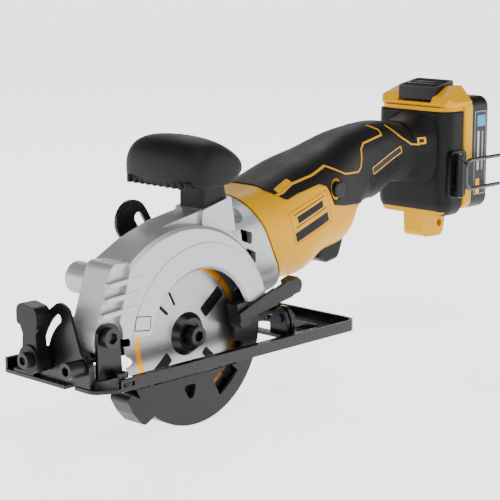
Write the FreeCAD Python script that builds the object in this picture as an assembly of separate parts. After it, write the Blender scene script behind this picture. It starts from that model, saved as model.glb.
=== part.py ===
"""Compact cordless circular saw with a 115 mm blade, one solid per physical piece.

Sub-parts are drawn about the spindle axis, which is the Y axis through (0, 0, 0) while drawing.
X runs towards the battery, Y towards the motor side and Z up.  save() lifts every piece by the
spindle height, so that the sole of the shoe is the plane z = 0 of the finished frame.
"""
import FreeCAD
import Part
import math
import os

# ---- driving dimensions, mm and degrees ----
SPINDLE_HEIGHT = 18.5
BLADE_R = 57.5
BLADE_PLATE = 1.1
TOOTH_COUNT = 24
MOTOR_TILT = 26.0
MID_Y = 36.0
SHELL_WALL = 2.6
OVERMOLD = 1.1

GUARD_INNER_R = 63.2
GUARD_OPENING_R = 46.3
GUARD_NEAR_Y = -16.0
GUARD_SKIN = 2.6
GUARD_FAR_Y = 13.5
GUARD_ARC = (-13.0, -2.4, 79.9)
LOWER_R = 62.0
LOWER_START = 212.0
LOWER_END = 380.0
SNOUT_R = 19.2

DEPTH_PIVOT = (-84.0, 15.0)
DEPTH_SLOT_R = 105.0
DEPTH_SLOT_W = 7.5
DEPTH_BOLT_ANGLE = 4.48
DEPTH_PLATE_Y = 50.0
DEPTH_PLATE_T = 2.5
YOKE_LOW = -12.8
YOKE_EAR_Y = -12.7
BEVEL_Y = -8.0
BEVEL_Z = -3.0
BEVEL_SLOT_R = 35.8
BEVEL_BOLT_ANGLE = 2.4
BEVEL_RANGE = 50.0
LOCK_ANGLE = 120.0

SOLE_Z = -SPINDLE_HEIGHT
SHOE_T = 2.5
SHOE_FRONT = -105.0
SHOE_REAR = 147.0
SHOE_NEAR = -28.7
SHOE_FAR = 65.5
FLANGE_UP = 8.0

FOOT_FRONT = 288.0
FOOT_REAR = 311.0
FOOT_CORNER = 13.0
FOOT_WALL = 1.5
FOOT_LOW = 41.5
FOOT_HIGH = 127.0
FOOT_HALF = 36.5
PACK_REAR = 344.0
PACK_LOW = 46.0
PACK_HIGH = 137.0
PACK_HALF = 37.5
CAP_T = 9.5
HOOD_TOP = 146.0
FIT = 0.05
CLEAR = 0.3

X_AXIS = FreeCAD.Vector(1, 0, 0)
Y_AXIS = FreeCAD.Vector(0, 1, 0)
Z_AXIS = FreeCAD.Vector(0, 0, 1)
TILT = math.radians(MOTOR_TILT)
MOTOR_AXIS = FreeCAD.Vector(math.cos(TILT), 0, math.sin(TILT))


# ---- drawing helpers ----
def vec(x, y, z):
    return FreeCAD.Vector(x, y, z)


def save(name, *shapes):
    """Write one node, lifted so that the sole lies at z = 0."""
    solids = [solid.copy() for shape in shapes for solid in shape.Solids]
    for solid in solids:
        solid.translate(vec(0, 0, SPINDLE_HEIGHT))
    group = solids[0] if len(solids) == 1 else Part.makeCompound(solids)
    group.exportStep(f"parts/{name}.step")
    box = group.BoundBox
    print(f"{name:24s} solids {len(solids):3d} valid {group.isValid()} volume {group.Volume:10.1f} "
          f"x {box.XMin:.1f} {box.XMax:.1f} y {box.YMin:.1f} {box.YMax:.1f} z {box.ZMin:.1f} {box.ZMax:.1f}")


def block(x0, x1, y0, y1, z0, z1):
    return Part.makeBox(x1 - x0, y1 - y0, z1 - z0, vec(x0, y0, z0))


def rod(start, axis, radius, length):
    return Part.makeCylinder(radius, length, start, axis)


def pipe(start, axis, outer, inner, length):
    return rod(start, axis, outer, length).cut(rod(start, axis, inner, length))


def joined(first, *others):
    return first.multiFuse(list(others)).removeSplitter()


def minus(shape, *tools):
    return shape.cut(list(tools))


def on_motor(distance):
    """The point of the motor axis this far from the spindle axis."""
    return MOTOR_AXIS * distance + vec(0, MID_Y, 0)


def polar(radius, degrees, y, centre=(0.0, 0.0)):
    angle = math.radians(degrees)
    return vec(centre[0] + radius * math.cos(angle), y, centre[1] + radius * math.sin(angle))


def outline(corners, place):
    """A closed wire through (u, v, corner radius) with its corners rounded; place maps u, v to space."""
    edges = []
    ends = []
    count = len(corners)
    for i, (u, v, radius) in enumerate(corners):
        here = FreeCAD.Vector(u, v, 0)
        before = FreeCAD.Vector(corners[i - 1][0], corners[i - 1][1], 0) - here
        after = FreeCAD.Vector(corners[(i + 1) % count][0], corners[(i + 1) % count][1], 0) - here
        if radius == 0:
            ends.append((here, None, here))
            continue
        half = before.getAngle(after) / 2
        reach = radius / math.tan(half)
        before.normalize()
        after.normalize()
        bisector = before + after
        bisector.normalize()
        middle = here + bisector * (radius / math.sin(half) - radius)
        ends.append((here + before * reach, middle, here + after * reach))
    for i, (start, middle, stop) in enumerate(ends):
        if middle is not None:
            edges.append(Part.Arc(place(start), place(middle), place(stop)).toShape())
        following = ends[(i + 1) % count][0]
        if stop.distanceToPoint(following) > 1e-6:
            edges.append(Part.LineSegment(place(stop), place(following)).toShape())
    return Part.Wire(edges)


def plate_y(corners, y0, y1):
    """An outline of (x, z, radius) corners, extruded from y0 to y1."""
    wire = outline(corners, lambda p: vec(p.x, y0, p.y))
    return Part.Face(wire).extrude(vec(0, y1 - y0, 0))


def plate_z(corners, z0, z1):
    """An outline of (x, y, radius) corners, extruded from z0 to z1."""
    wire = outline(corners, lambda p: vec(p.x, p.y, z0))
    return Part.Face(wire).extrude(vec(0, 0, z1 - z0))


def plate_x(corners, x0, x1):
    """An outline of (y, z, radius) corners, extruded from x0 to x1."""
    wire = outline(corners, lambda p: vec(x0, p.x, p.y))
    return Part.Face(wire).extrude(vec(x1 - x0, 0, 0))


def sector(inner, outer, start, end, y0, y1, centre=(0.0, 0.0)):
    """A ring sector about an axis along Y, between two angles measured from +X towards +Z."""
    half = (start + end) / 2
    edges = [
        Part.Arc(polar(outer, start, y0, centre), polar(outer, half, y0, centre),
                 polar(outer, end, y0, centre)).toShape(),
        Part.LineSegment(polar(outer, end, y0, centre), polar(inner, end, y0, centre)).toShape(),
        Part.Arc(polar(inner, end, y0, centre), polar(inner, half, y0, centre),
                 polar(inner, start, y0, centre)).toShape(),
        Part.LineSegment(polar(inner, start, y0, centre), polar(outer, start, y0, centre)).toShape(),
    ]
    return Part.Face(Part.Wire(edges)).extrude(vec(0, y1 - y0, 0))


def disc_y(radius, y0, y1, x=0.0, z=0.0):
    return rod(vec(x, y0, z), Y_AXIS, radius, y1 - y0)


def section(x, y, z, tilt, half_height, half_width, corner):
    """A rounded rectangle across a body that rises at tilt degrees towards +X."""
    angle = math.radians(tilt)
    up = vec(-math.sin(angle), 0, math.cos(angle))
    centre = vec(x, y, z)
    corners = [(-half_width, -half_height, corner), (half_width, -half_height, corner),
               (half_width, half_height, corner), (-half_width, half_height, corner)]
    return outline(corners, lambda p: centre + Y_AXIS * p.x + up * p.y)


def hex_socket(start, axis, across, depth):
    """A six-sided recess that starts at a point and runs along an axis."""
    side = axis.cross(vec(0.31, 0.57, 0.76))
    side.normalize()
    other = axis.cross(side)
    points = []
    for i in range(7):
        angle = math.radians(60 * i)
        points.append(start + (side * math.cos(angle) + other * math.sin(angle)) * (across / math.sqrt(3)))
    return Part.Face(Part.makePolygon(points)).extrude(axis * depth)


def cap_screw(head, axis, shank_r, shank, head_r, head_h):
    """A socket screw: its head stands on the point head, and its shank runs along the axis."""
    body = joined(rod(head, axis, shank_r, shank), rod(head - axis * head_h, axis, head_r, head_h + 0.01))
    return minus(body, hex_socket(head - axis * head_h, axis, head_r * 1.05, head_h * 0.6))


def ball_bearing(start, axis, outer, bore, width):
    """Outer and inner race with a caged row of balls, as three touching rings."""
    mid = (outer + bore) / 2
    race = (outer - bore) / 4
    rings = [pipe(start, axis, outer, outer - race, width),
             pipe(start + axis * 0.6, axis, outer - race, bore + race, width - 1.2),
             pipe(start, axis, bore + race, bore, width)]
    groove = Part.makeTorus(mid, race * 0.5, start, axis)
    return joined(rings[0], rings[1], rings[2]).cut(groove)


# ---- blade, spindle and gears ----
def blade():
    """The plate of the blade: each tooth is a back slope, a gullet and a radial face."""
    pitch = 360.0 / TOOTH_COUNT
    gullet_r = BLADE_R - 6.5
    shape = ((BLADE_R - 0.4, 0.0), (BLADE_R - 1.6, 0.38), (gullet_r + 2.0, 0.55), (gullet_r, 0.72),
             (gullet_r + 0.4, 0.88), (BLADE_R - 3.4, 0.985))
    points = [polar(radius, (tooth + share) * pitch, -BLADE_PLATE / 2)
              for tooth in range(TOOTH_COUNT) for radius, share in shape]
    points.append(points[0])
    plate = Part.Face(Part.makePolygon(points)).extrude(vec(0, BLADE_PLATE, 0))
    bore = disc_y(5.0 + FIT, -2, 2)
    slots = [sector(43.0, 50.5, 45 + 90 * i, 46 + 90 * i, -2, 2) for i in range(4)]
    return minus(plate, bore, *slots)


def blade_tips():
    """Carbide tips brazed in front of each tooth, a little wider than the plate."""
    tip = block(BLADE_R - 3.6, BLADE_R, -0.8, 0.8, -0.95, -0.05)
    pitch = 360.0 / TOOTH_COUNT
    tips = []
    for tooth in range(TOOTH_COUNT):
        copy = tip.copy()
        copy.rotate(vec(0, 0, 0), Y_AXIS, -tooth * pitch)
        tips.append(copy)
    return tips


SPINDLE_END = -4.6
RING_GEAR_R = 15.4
RING_TEETH = 25
PINION_TEETH = 6
RING_FACE_Y = 30.6


def spindle_shaft():
    shaft = joined(disc_y(4.95, SPINDLE_END, 8.0), disc_y(7.5, 8.0, 30.0), disc_y(4.0, 30.0, 46.0))
    return minus(shaft, disc_y(2.5, SPINDLE_END, 8.0))


def ring_gear():
    """The driven bevel gear, with straight teeth on its motor side and four notches for the lock pin."""
    cone = Part.makeCone(RING_GEAR_R, 9.0, 1.6, vec(0, RING_FACE_Y, 0), Y_AXIS)
    wheel = joined(disc_y(RING_GEAR_R, 20.0, RING_FACE_Y), cone, disc_y(9.5, 17.5, 20.1))
    tooth_gap = plate_y([(8.4, -0.35, 0), (16.5, -0.8, 0), (16.5, 0.8, 0), (8.4, 0.35, 0)],
                        RING_FACE_Y - 1.0, RING_FACE_Y + 2.0)
    notch = block(11.5, 17.0, 19.0, 26.5, -2.9, 2.9)
    gaps = []
    for i in range(RING_TEETH):
        gap = tooth_gap.copy()
        gap.rotate(vec(0, 0, 0), Y_AXIS, i * 360.0 / RING_TEETH)
        gaps.append(gap)
    for i in range(4):
        gap = notch.copy()
        gap.rotate(vec(0, 0, 0), Y_AXIS, -(LOCK_ANGLE + 90.0 * i))
        gaps.append(gap)
    return minus(wheel, disc_y(7.5 + FIT, 15, 40), *gaps)


def pinion():
    """The driving bevel gear on the end of the rotor shaft."""
    body = Part.makeCone(2.9, 3.9, 6.5, on_motor(9.5), MOTOR_AXIS)
    side = MOTOR_AXIS.cross(Y_AXIS)
    gaps = []
    for i in range(PINION_TEETH):
        angle = math.radians(360.0 / PINION_TEETH * i)
        radial = Y_AXIS * math.cos(angle) + side * math.sin(angle)
        gaps.append(rod(on_motor(9.0) + radial * 3.2, MOTOR_AXIS + radial * 0.15, 0.6, 8.5))
    return minus(body, rod(on_motor(9.0), MOTOR_AXIS, 2.0, 10.0), *gaps)


def inner_flange():
    return minus(joined(disc_y(15.0, BLADE_PLATE / 2, 3.4), disc_y(9.0, 3.4, 6.5)), disc_y(5.0, -1, 9))


def outer_flange():
    face = -BLADE_PLATE / 2
    cup = Part.makeCone(15.0, 11.5, 4.4, vec(0, face, 0), -Y_AXIS)
    recess = disc_y(8.2, face - 5.0, face - 3.4)
    return minus(cup, disc_y(5.0, -9, 1), recess)


def blade_bolt():
    return cap_screw(vec(0, -4.65, 0), Y_AXIS, 2.5, 12.0, 6.6, 7.6)


# ---- motor ----
def rotor_core():
    return pipe(on_motor(98), MOTOR_AXIS, 13.6, 4.0, 40)


def rotor_shaft():
    slim = rod(on_motor(9.5), MOTOR_AXIS, 2.0, 21.0)
    return joined(slim, rod(on_motor(30), MOTOR_AXIS, 3.95, 122))


def stator():
    """A laminated ring with six wound poles around the rotor."""
    ring = pipe(on_motor(100), MOTOR_AXIS, 26.0, 22.0, 36)
    side = MOTOR_AXIS.cross(Y_AXIS)
    poles = []
    for i in range(6):
        angle = math.radians(60 * i + 30)
        radial = Y_AXIS * math.cos(angle) + side * math.sin(angle)
        poles.append(rod(on_motor(118) + radial * 14.4, radial, 5.6, 8.2))
    return joined(ring, *poles)


def fan():
    """A centrifugal fan: a back plate with nine flat blades."""
    hub = pipe(on_motor(86), MOTOR_AXIS, 9.0, 4.0, 9.5)
    plate = pipe(on_motor(94), MOTOR_AXIS, 25.0, 4.0, 1.6)
    side = MOTOR_AXIS.cross(Y_AXIS)
    vanes = []
    for i in range(9):
        vane = block(0, 7.5, -0.6, 0.6, 8.0, 24.0)
        turn = FreeCAD.Rotation(vec(1, 0, 0), 40 * i)
        aim = FreeCAD.Rotation(MOTOR_AXIS, Y_AXIS, side, "XYZ")
        vane.Placement = FreeCAD.Placement(on_motor(87), aim.multiply(turn))
        vanes.append(vane)
    return joined(hub, plate, *vanes)


def motor_end_plate():
    ring = pipe(on_motor(146), MOTOR_AXIS, 27.0, 8.0 + FIT, 6.0)
    rim = pipe(on_motor(138.5), MOTOR_AXIS, 27.0, 24.5, 8.0)
    return joined(ring, rim)


# ---- handle and motor housing ----
# stations along the housing: x, z, tilt, half height, half width, corner radius
STATIONS = (
    (84.0, 48.0, 25.3, 41.5, 38.0, 31.0),
    (108.5, 53.0, 21.0, 37.8, 38.0, 30.0),
    (131.5, 60.2, 18.0, 37.2, 37.0, 28.0),
    (159.0, 68.5, 14.4, 36.6, 34.0, 25.0),
    (181.0, 76.0, 14.4, 35.0, 29.0, 22.0),
    (199.0, 87.8, 12.6, 29.0, 24.0, 19.0),
    (219.5, 91.6, 9.0, 28.6, 21.5, 18.0),
    (240.0, 95.8, 4.4, 25.6, 20.0, 17.0),
    (257.0, 96.2, 0.0, 22.8, 20.0, 17.0),
    (273.0, 96.0, 0.0, 22.5, 20.4, 17.0),
    (290.0, 96.5, 0.0, 22.8, 21.0, 17.0),
)


NOTCH_X = 188.5
NOTCH_Z = 62.0


def housing_solid(grow):
    """The outer form of the motor housing and grip, grown or shrunk by a wall thickness."""
    wires = [section(x, MID_Y, z, tilt, high + grow, wide + grow, corner + grow)
             for x, z, tilt, high, wide, corner in STATIONS]
    notch = block(NOTCH_X + min(grow, 0), 240, -30, 110, 0, NOTCH_Z - min(grow, 0))
    return Part.makeLoft(wires, True, False, False, 3).cut(notch)


SCREW_SPOTS = ((152.0, 50.0), (176.0, 98.0), (226.0, 108.0), (246.0, 84.0))
TRIGGER_X = (190.5, 212.5)
TRIGGER_HALF = 8.5
LOCK_OFF = (157.5, 81.0)
LOCK_OFF_R = 6.0


def housing_shells(outer):
    """Left and right clamshell halves with screw bosses, split on the middle plane."""
    bosses = [disc_y(5.0, -10.0, 90.0, x, z) for x, z in SCREW_SPOTS]
    shell = outer.cut(housing_solid(-SHELL_WALL))
    shell = joined(shell, *[boss.common(outer) for boss in bosses])
    cuts = [block(TRIGGER_X[0], TRIGGER_X[1], MID_Y - TRIGGER_HALF, MID_Y + TRIGGER_HALF, 40, 78),
            disc_y(LOCK_OFF_R + FIT, -10, 80, *LOCK_OFF),
            block(FOOT_FRONT + 1.4, 320, -10, 80, 40, 140)]
    cuts += [disc_y(1.8, 23.0, 60.0, x, z) for x, z in SCREW_SPOTS]
    cuts += [disc_y(3.4, 49.0, 90.0, x, z) for x, z in SCREW_SPOTS]
    shell = minus(shell, *cuts)
    left = shell.common(block(0, 320, -20, MID_Y, -20, 160))
    right = shell.common(block(0, 320, MID_Y, 100, -20, 160))
    return left, right


def housing_screws():
    return [cap_screw(vec(x, 49.0, z), -Y_AXIS, 1.75, 24.0, 3.2, 2.4) for x, z in SCREW_SPOTS]


# the soft grip covers the housing above this line, from the gear case to the foot
OVERMOLD_LINE = (
    (94.0, 86.0, 0), (104.6, 79.0, 3), (115.3, 82.2, 3), (137.8, 87.0, 4), (146.0, 84.5, 3),
    (154.5, 69.5, 2), (166.0, 67.5, 3), (199.0, 64.8, 3), (224.0, 66.0, 2),
    (232.0, 60.0, 0), (286.0, 60.0, 0), (286.0, 150.0, 0), (94.0, 150.0, 0),
)
PIPING_LINES = (
    ((98.0, 82.6), (104.6, 84.0), (115.2, 88.8), (134.8, 93.2), (151.5, 98.4), (170.4, 90.7), (191.0, 89.6),
     (195.5, 93.0), (197.7, 105.6), (202.8, 109.7), (227.6, 113.8), (227.5, 117.5), (221.0, 120.9)),
    ((238.8, 119.7), (249.0, 111.0), (262.0, 103.5), (272.0, 102.2)),
)
PIPING_W = 1.3


def piping_band():
    """The thin raised line that frames the pad on each side of the grip."""
    bands = []
    for (x0, z0), (x1, z1) in [pair for line in PIPING_LINES for pair in zip(line, line[1:])]:
        length = math.hypot(x1 - x0, z1 - z0)
        across = vec(-(z1 - z0) / length, 0, (x1 - x0) / length) * (PIPING_W / 2)
        start = vec(x0, -20, z0)
        stop = vec(x1, -20, z1)
        corners = [start + across, stop + across, stop - across, start - across, start + across]
        bands.append(Part.Face(Part.makePolygon(corners)).extrude(vec(0, 120, 0)))
        bands.append(disc_y(PIPING_W / 2, -20, 100, x1, z1))
    return joined(*bands)


def grip_overmold(outer, band):
    """The soft skin over the grip, with room for the screws, the lock button and the raised line."""
    skin = housing_solid(OVERMOLD).cut(outer)
    skin = skin.common(plate_y(OVERMOLD_LINE, -20, 100))
    cuts = [disc_y(LOCK_OFF_R + 2.0, -20, 100, *LOCK_OFF), block(FOOT_FRONT, 320, -20, 100, 40, 150),
            block(TRIGGER_X[0] - 1, TRIGGER_X[1] + 2, MID_Y - 10, MID_Y + 10, 40, 70), band]
    cuts += [disc_y(3.4, 49.0, 100.0, x, z) for x, z in SCREW_SPOTS]
    return minus(skin, *cuts)


def grip_piping(outer, band):
    line = housing_solid(OVERMOLD + 0.25).cut(outer).common(band)
    return line.common(joined(block(90, 284, -20, 28, 60, 140), block(90, 284, 44, 100, 60, 140)))


def belly_bumper(outer):
    """The soft foot under the motor, on which the saw is set down."""
    lump = plate_y([(150, 42, 0), (152, 28, 5), (163, 22.5, 6), (176, 24.5, 7), (184, 45, 0)], 14, 58)
    lump = lump.makeFillet(4.0, [edge for edge in lump.Edges if edge.BoundBox.ZMax < 39 and
                                 edge.BoundBox.YLength < 0.01])
    return minus(lump, housing_solid(CLEAR / 3))


def foot_plan(inset, rear):
    """The foot's plan outline: rounded front corners and a square back."""
    front = FOOT_FRONT + inset
    half = FOOT_HALF - inset
    corner = FOOT_CORNER - inset
    return [(front, MID_Y - half, corner), (rear, MID_Y - half, 0),
            (rear, MID_Y + half, 0), (front, MID_Y + half, corner)]


def foot_end(inset):
    """The foot's outline from behind, drawn in by an inset, with large lower corners."""
    half = FOOT_HALF - inset
    return plate_x([(MID_Y - half, FOOT_LOW + inset, 12 - inset), (MID_Y - half, FOOT_HIGH + 10, 0),
                    (MID_Y + half, FOOT_HIGH + 10, 0), (MID_Y + half, FOOT_LOW + inset, 12 - inset)],
                   FOOT_FRONT - 1, FOOT_REAR + 20)


def foot_shell():
    """The block at the end of the grip that carries the battery rails and the lanyard tab."""
    body = plate_z(foot_plan(FOOT_WALL, FOOT_REAR), FOOT_LOW + FOOT_WALL, FOOT_HIGH + 3.0)
    body = body.common(foot_end(FOOT_WALL))
    hollow = block(FOOT_FRONT + 5, FOOT_REAR - 3, MID_Y - 30, MID_Y + 30, FOOT_LOW + 5, FOOT_HIGH - 4)
    window = block(FOOT_FRONT - 2, FOOT_FRONT + 8, MID_Y - 14, MID_Y + 14, 82, 111)
    tab = plate_y([(291, FOOT_LOW + 3, 0), (292, 23.5, 5), (317, 22.5, 6), (321, 40, 4), (318, 44.5, 1),
                   (308, 44.5, 0)], MID_Y - 12, MID_Y + 8)
    hole = disc_y(3.2, 0, 80, 313.0, 33.5)
    corners = minus(hollow, foot_end(4.5))
    return joined(minus(joined(body, tab), hollow, hole, window), corners.common(body))


def foot_overmold():
    """The soft bumper around the front and sides of the foot, with vent slits."""
    rear = FOOT_REAR - 1.5
    cover = plate_z(foot_plan(0, rear), FOOT_LOW, FOOT_HIGH).common(foot_end(0))
    hollow = plate_z(foot_plan(FOOT_WALL, FOOT_REAR + 9), FOOT_LOW + FOOT_WALL, FOOT_HIGH + 4)
    hollow = hollow.common(foot_end(FOOT_WALL))
    grip_hole = plate_x([(MID_Y - 22.2, 72.5, 18), (MID_Y + 22.2, 72.5, 18), (MID_Y + 22.2, 120.5, 18),
                         (MID_Y - 22.2, 120.5, 18)], FOOT_FRONT - 5, FOOT_FRONT + 12)
    slits = [block(FOOT_FRONT + 11, FOOT_FRONT + 14, -20, 100, z, z + 8) for z in (48, 62, 76, 108)]
    tab_gap = block(FOOT_FRONT + 2.9, FOOT_REAR + 5, MID_Y - 12, MID_Y + 8, FOOT_LOW - 2, FOOT_LOW + 4)
    return minus(cover, hollow, grip_hole, tab_gap, *slits)


RAIL_TOP = 112.0


def rail_block():
    """The T-shaped rail with the terminal blades that the battery slides onto."""
    neck = block(FOOT_REAR, FOOT_REAR + 3.2, MID_Y - 15, MID_Y + 15, 60, RAIL_TOP)
    head = block(FOOT_REAR + 3.2, FOOT_REAR + 6.4, MID_Y - 20, MID_Y + 20, 60, RAIL_TOP)
    return joined(neck, head)


def terminal_blades():
    return [block(FOOT_REAR + 6.4, FOOT_REAR + 13.0, MID_Y - 12.4 + 6 * i, MID_Y - 11.6 + 6 * i, 62, 84)
            for i in range(5)]


# ---- battery ----
def pack_end(inset, corner):
    """The pack's rounded end outline, drawn in by an inset."""
    half = PACK_HALF - inset
    low = PACK_LOW + inset
    high = PACK_HIGH - inset
    return [(MID_Y - half, low, corner), (MID_Y - half, high, corner),
            (MID_Y + half, high, corner), (MID_Y + half, low, corner)]


def battery_cap():
    """The pack's rail side: a plate behind the foot with a hood over the foot's top."""
    front = FOOT_REAR + CLEAR
    back = FOOT_REAR + CAP_T
    side = [(front, MID_Y - PACK_HALF, 2), (back, MID_Y - PACK_HALF, 0),
            (back, MID_Y + PACK_HALF, 0), (front, MID_Y + PACK_HALF, 2)]
    ends = plate_x(pack_end(0, 9), front - 1, back + 1)
    plate = plate_z(side, PACK_LOW, PACK_HIGH - 2).common(ends)
    base = FOOT_HIGH + 3.0 + CLEAR
    hood = plate_y([(FOOT_FRONT + 1, base, 2), (back, base, 0), (back, HOOD_TOP, 1),
                    (FOOT_REAR - 2, HOOD_TOP, 6), (FOOT_FRONT + 6, base + 8, 6)],
                   MID_Y - PACK_HALF, MID_Y + PACK_HALF)
    hood = hood.common(plate_z(foot_plan(0, back), base - 1, HOOD_TOP + 1))
    slopes = [plate_x([(MID_Y + side * 52, base + 4, 0), (MID_Y + side * 36, base + 4, 0),
                       (MID_Y + side * 24, HOOD_TOP + 2, 0), (MID_Y + side * 52, HOOD_TOP + 2, 0)],
                      FOOT_FRONT - 5, PACK_REAR) for side in (-1, 1)]
    gap = 0.4
    low = PACK_LOW - 1
    neck = block(FOOT_REAR - 1, FOOT_REAR + 3.6, MID_Y - 15 - gap, MID_Y + 15 + gap, low, RAIL_TOP + 0.5)
    head = block(FOOT_REAR + 2.8, FOOT_REAR + 6.8, MID_Y - 20 - gap, MID_Y + 20 + gap, low, RAIL_TOP + 0.5)
    contacts = block(FOOT_REAR + 6, FOOT_REAR + 16, MID_Y - 14, MID_Y + 14, low, 86)
    well = block(FOOT_FRONT + 1, FOOT_REAR + 6, MID_Y - 17, MID_Y + 17, base + 3, HOOD_TOP + 9)
    return minus(joined(plate, minus(hood, *slopes)), neck, head, contacts, well)


def battery_case():
    """The pack's body, open inside for the cells."""
    body = plate_x(pack_end(0, 9), FOOT_REAR + CAP_T, PACK_REAR)
    body = body.makeFillet(4.5, [edge for edge in body.Edges if edge.BoundBox.XMin > PACK_REAR - 0.01])
    hollow = plate_x(pack_end(3.2, 2.6), FOOT_REAR + CAP_T + 3, PACK_REAR - 3)
    contacts = block(FOOT_REAR + 6, FOOT_REAR + 16, MID_Y - 14, MID_Y + 14, PACK_LOW - 1, 86)
    return minus(body, hollow, contacts)


def battery_cells():
    """Five flat pouch cells stacked across the pack."""
    return [block(FOOT_REAR + CAP_T + 5, PACK_REAR - 3.5, MID_Y - 33 + 13.2 * i, MID_Y - 20.6 + 13.2 * i,
                  PACK_LOW + 4, PACK_HIGH - 4) for i in range(5)]


def battery_latch():
    """The release button in the well on top of the pack."""
    floor = FOOT_HIGH + 3.0 + CLEAR + 6.4
    button = plate_y([(FOOT_FRONT + 7.5, floor, 1), (FOOT_REAR + 5, floor, 0),
                      (FOOT_REAR + 5, HOOD_TOP + 2, 1), (FOOT_REAR - 1, HOOD_TOP + 2, 3),
                      (FOOT_FRONT + 7.5, floor + 3.5, 2)],
                     MID_Y - 16.6, MID_Y + 16.6)
    scoop = rod(vec(FOOT_REAR - 10, MID_Y - 12, HOOD_TOP + 6), Y_AXIS, 8.0, 24)
    return minus(button, scoop)


# ---- upper guard and gear case ----
def guard_outline(y0, y1):
    """The round of the upper guard between its rear end and the front arm."""
    region = plate_y([(-78.0, 12.4, 3), (-45.5, 9.4, 0), (0, 9.4, 0), (0, 17.0, 0), (61.0, 17.0, 2),
                      (90.0, 60.0, 0), (90.0, 95.0, 0), (-64.0, 95.0, 0), (-64.0, 59.0, 0)], y0, y1)
    return region.common(disc_y(GUARD_ARC[2], y0, y1, GUARD_ARC[0], GUARD_ARC[1]))


HANDLE_BOLT = vec(24, 7.5, 66)
HANDLE_AXIS = vec(-0.22, 0, 0.97)
HANDLE_AXIS.normalize()


def upper_guard():
    """One casting: near skin, rim, far wall, front arm with pivot barrel, dust port and handle pad."""
    near = GUARD_NEAR_Y
    skin = guard_outline(near, near + GUARD_SKIN).cut(disc_y(GUARD_OPENING_R, near - 1, near + 9))
    skin = skin.makeChamfer(2.2, [edge for edge in skin.Edges if edge.BoundBox.YMax < near + 0.01 and
                                  edge.Length > 60])
    rim = guard_outline(near + GUARD_SKIN, GUARD_FAR_Y).cut(disc_y(GUARD_INNER_R, near, 10.5))
    rim = minus(rim, disc_y(SNOUT_R + FIT, 0, 20))
    px, pz = DEPTH_PIVOT
    arm = plate_y([(-94.5, 12.0, 4), (-93.0, 4.5, 5), (-76.0, 4.5, 6), (-73.0, 12.0, 2), (-60.0, 12.0, 0),
                   (-60.0, 60.0, 0), (-77.5, 61.0, 6)], near + 3.5, 11.0)
    arm = arm.cut(disc_y(GUARD_INNER_R, near, 10.5))
    barrel = disc_y(9.6, near + 3.5, 15.2, px, pz)
    saddle = plate_y([(-72.0, 56.0, 3), (-46.0, 69.5, 8), (-20.0, 78.5, 10), (6.0, 83.0, 2), (12.0, 84.6, 0),
                      (37.0, 90.6, 2), (42.0, 60.0, 0), (20.0, 60.0, 0), (-20.0, 60.0, 0), (-50.0, 42.0, 0)],
                     -3.5, 17.0)
    saddle = saddle.cut(disc_y(GUARD_INNER_R, near, 10.5))
    pad = plate_y([(9.0, 70.0, 0), (10.5, 84.4, 1.5), (37.5, 90.8, 1.5), (42.0, 66.0, 0)], -6.0, 21.0)
    pad = pad.cut(disc_y(GUARD_INNER_R + 2, near, 30))
    port = rod(vec(-66.0, 8.0, 44.5), Y_AXIS, 10.8, 27.0)
    ribs = [plate_y([(-82.0 - 3.1 * i, 49.5 - 9.5 * i, 0.8), (-56.0 - 1.2 * i, 51.5 - 9.5 * i, 0.8),
                     (-56.0 - 1.2 * i, 48.0 - 9.5 * i, 0.8), (-83.0 - 3.1 * i, 46.0 - 9.5 * i, 0.8)],
                    near - 0.2, near + 5.0) for i in range(3)]
    body = joined(skin, rim, arm, barrel, saddle, pad, port, *ribs)
    cuts = [disc_y(4.05, -30, 40, px, pz), disc_y(12.0, -30, near + 3.5, px, pz),
            rod(vec(-66.0, 3.0, 44.5), Y_AXIS, 8.8, 40.0),
            plate_y([(-66, 36, 0), (-58, 30, 0), (-50, 46, 0), (-60, 52, 0)], 2.0, 9.0),
            rod(HANDLE_BOLT, HANDLE_AXIS, 3.1, 30), rod(HANDLE_BOLT - HANDLE_AXIS * 12, HANDLE_AXIS, 4.9, 15)]
    return minus(body, *cuts)


# stations of the gear case neck: x, y, z, tilt, half height, half width, corner radius
NECK = (
    (10.0, 31.2, 20.0, 25.3, 28.0, 17.7, 10.0),
    (38.0, 31.2, 31.0, 25.3, 36.0, 17.7, 12.0),
)
FLANGE = (82.6, 36.0, 47.3, 25.3, 41.5, 38.0, 31.0)
THROAT = (
    (16.0, 31.2, 20.0, 25.3, 15.0, 12.0, 8.0),
    (40.0, 31.2, 29.0, 25.3, 25.0, 13.0, 10.0),
    (84.5, 36.0, 48.2, 25.3, 37.5, 34.0, 28.0),
)
DRUM_R = 18.2
CHAMBER_R = 16.2
CASE_SCREWS = ((24.8, 59.0), (51.2, 3.0))


def lock_line():
    angle = math.radians(LOCK_ANGLE)
    return vec(math.cos(angle), 0, math.sin(angle))


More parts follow.
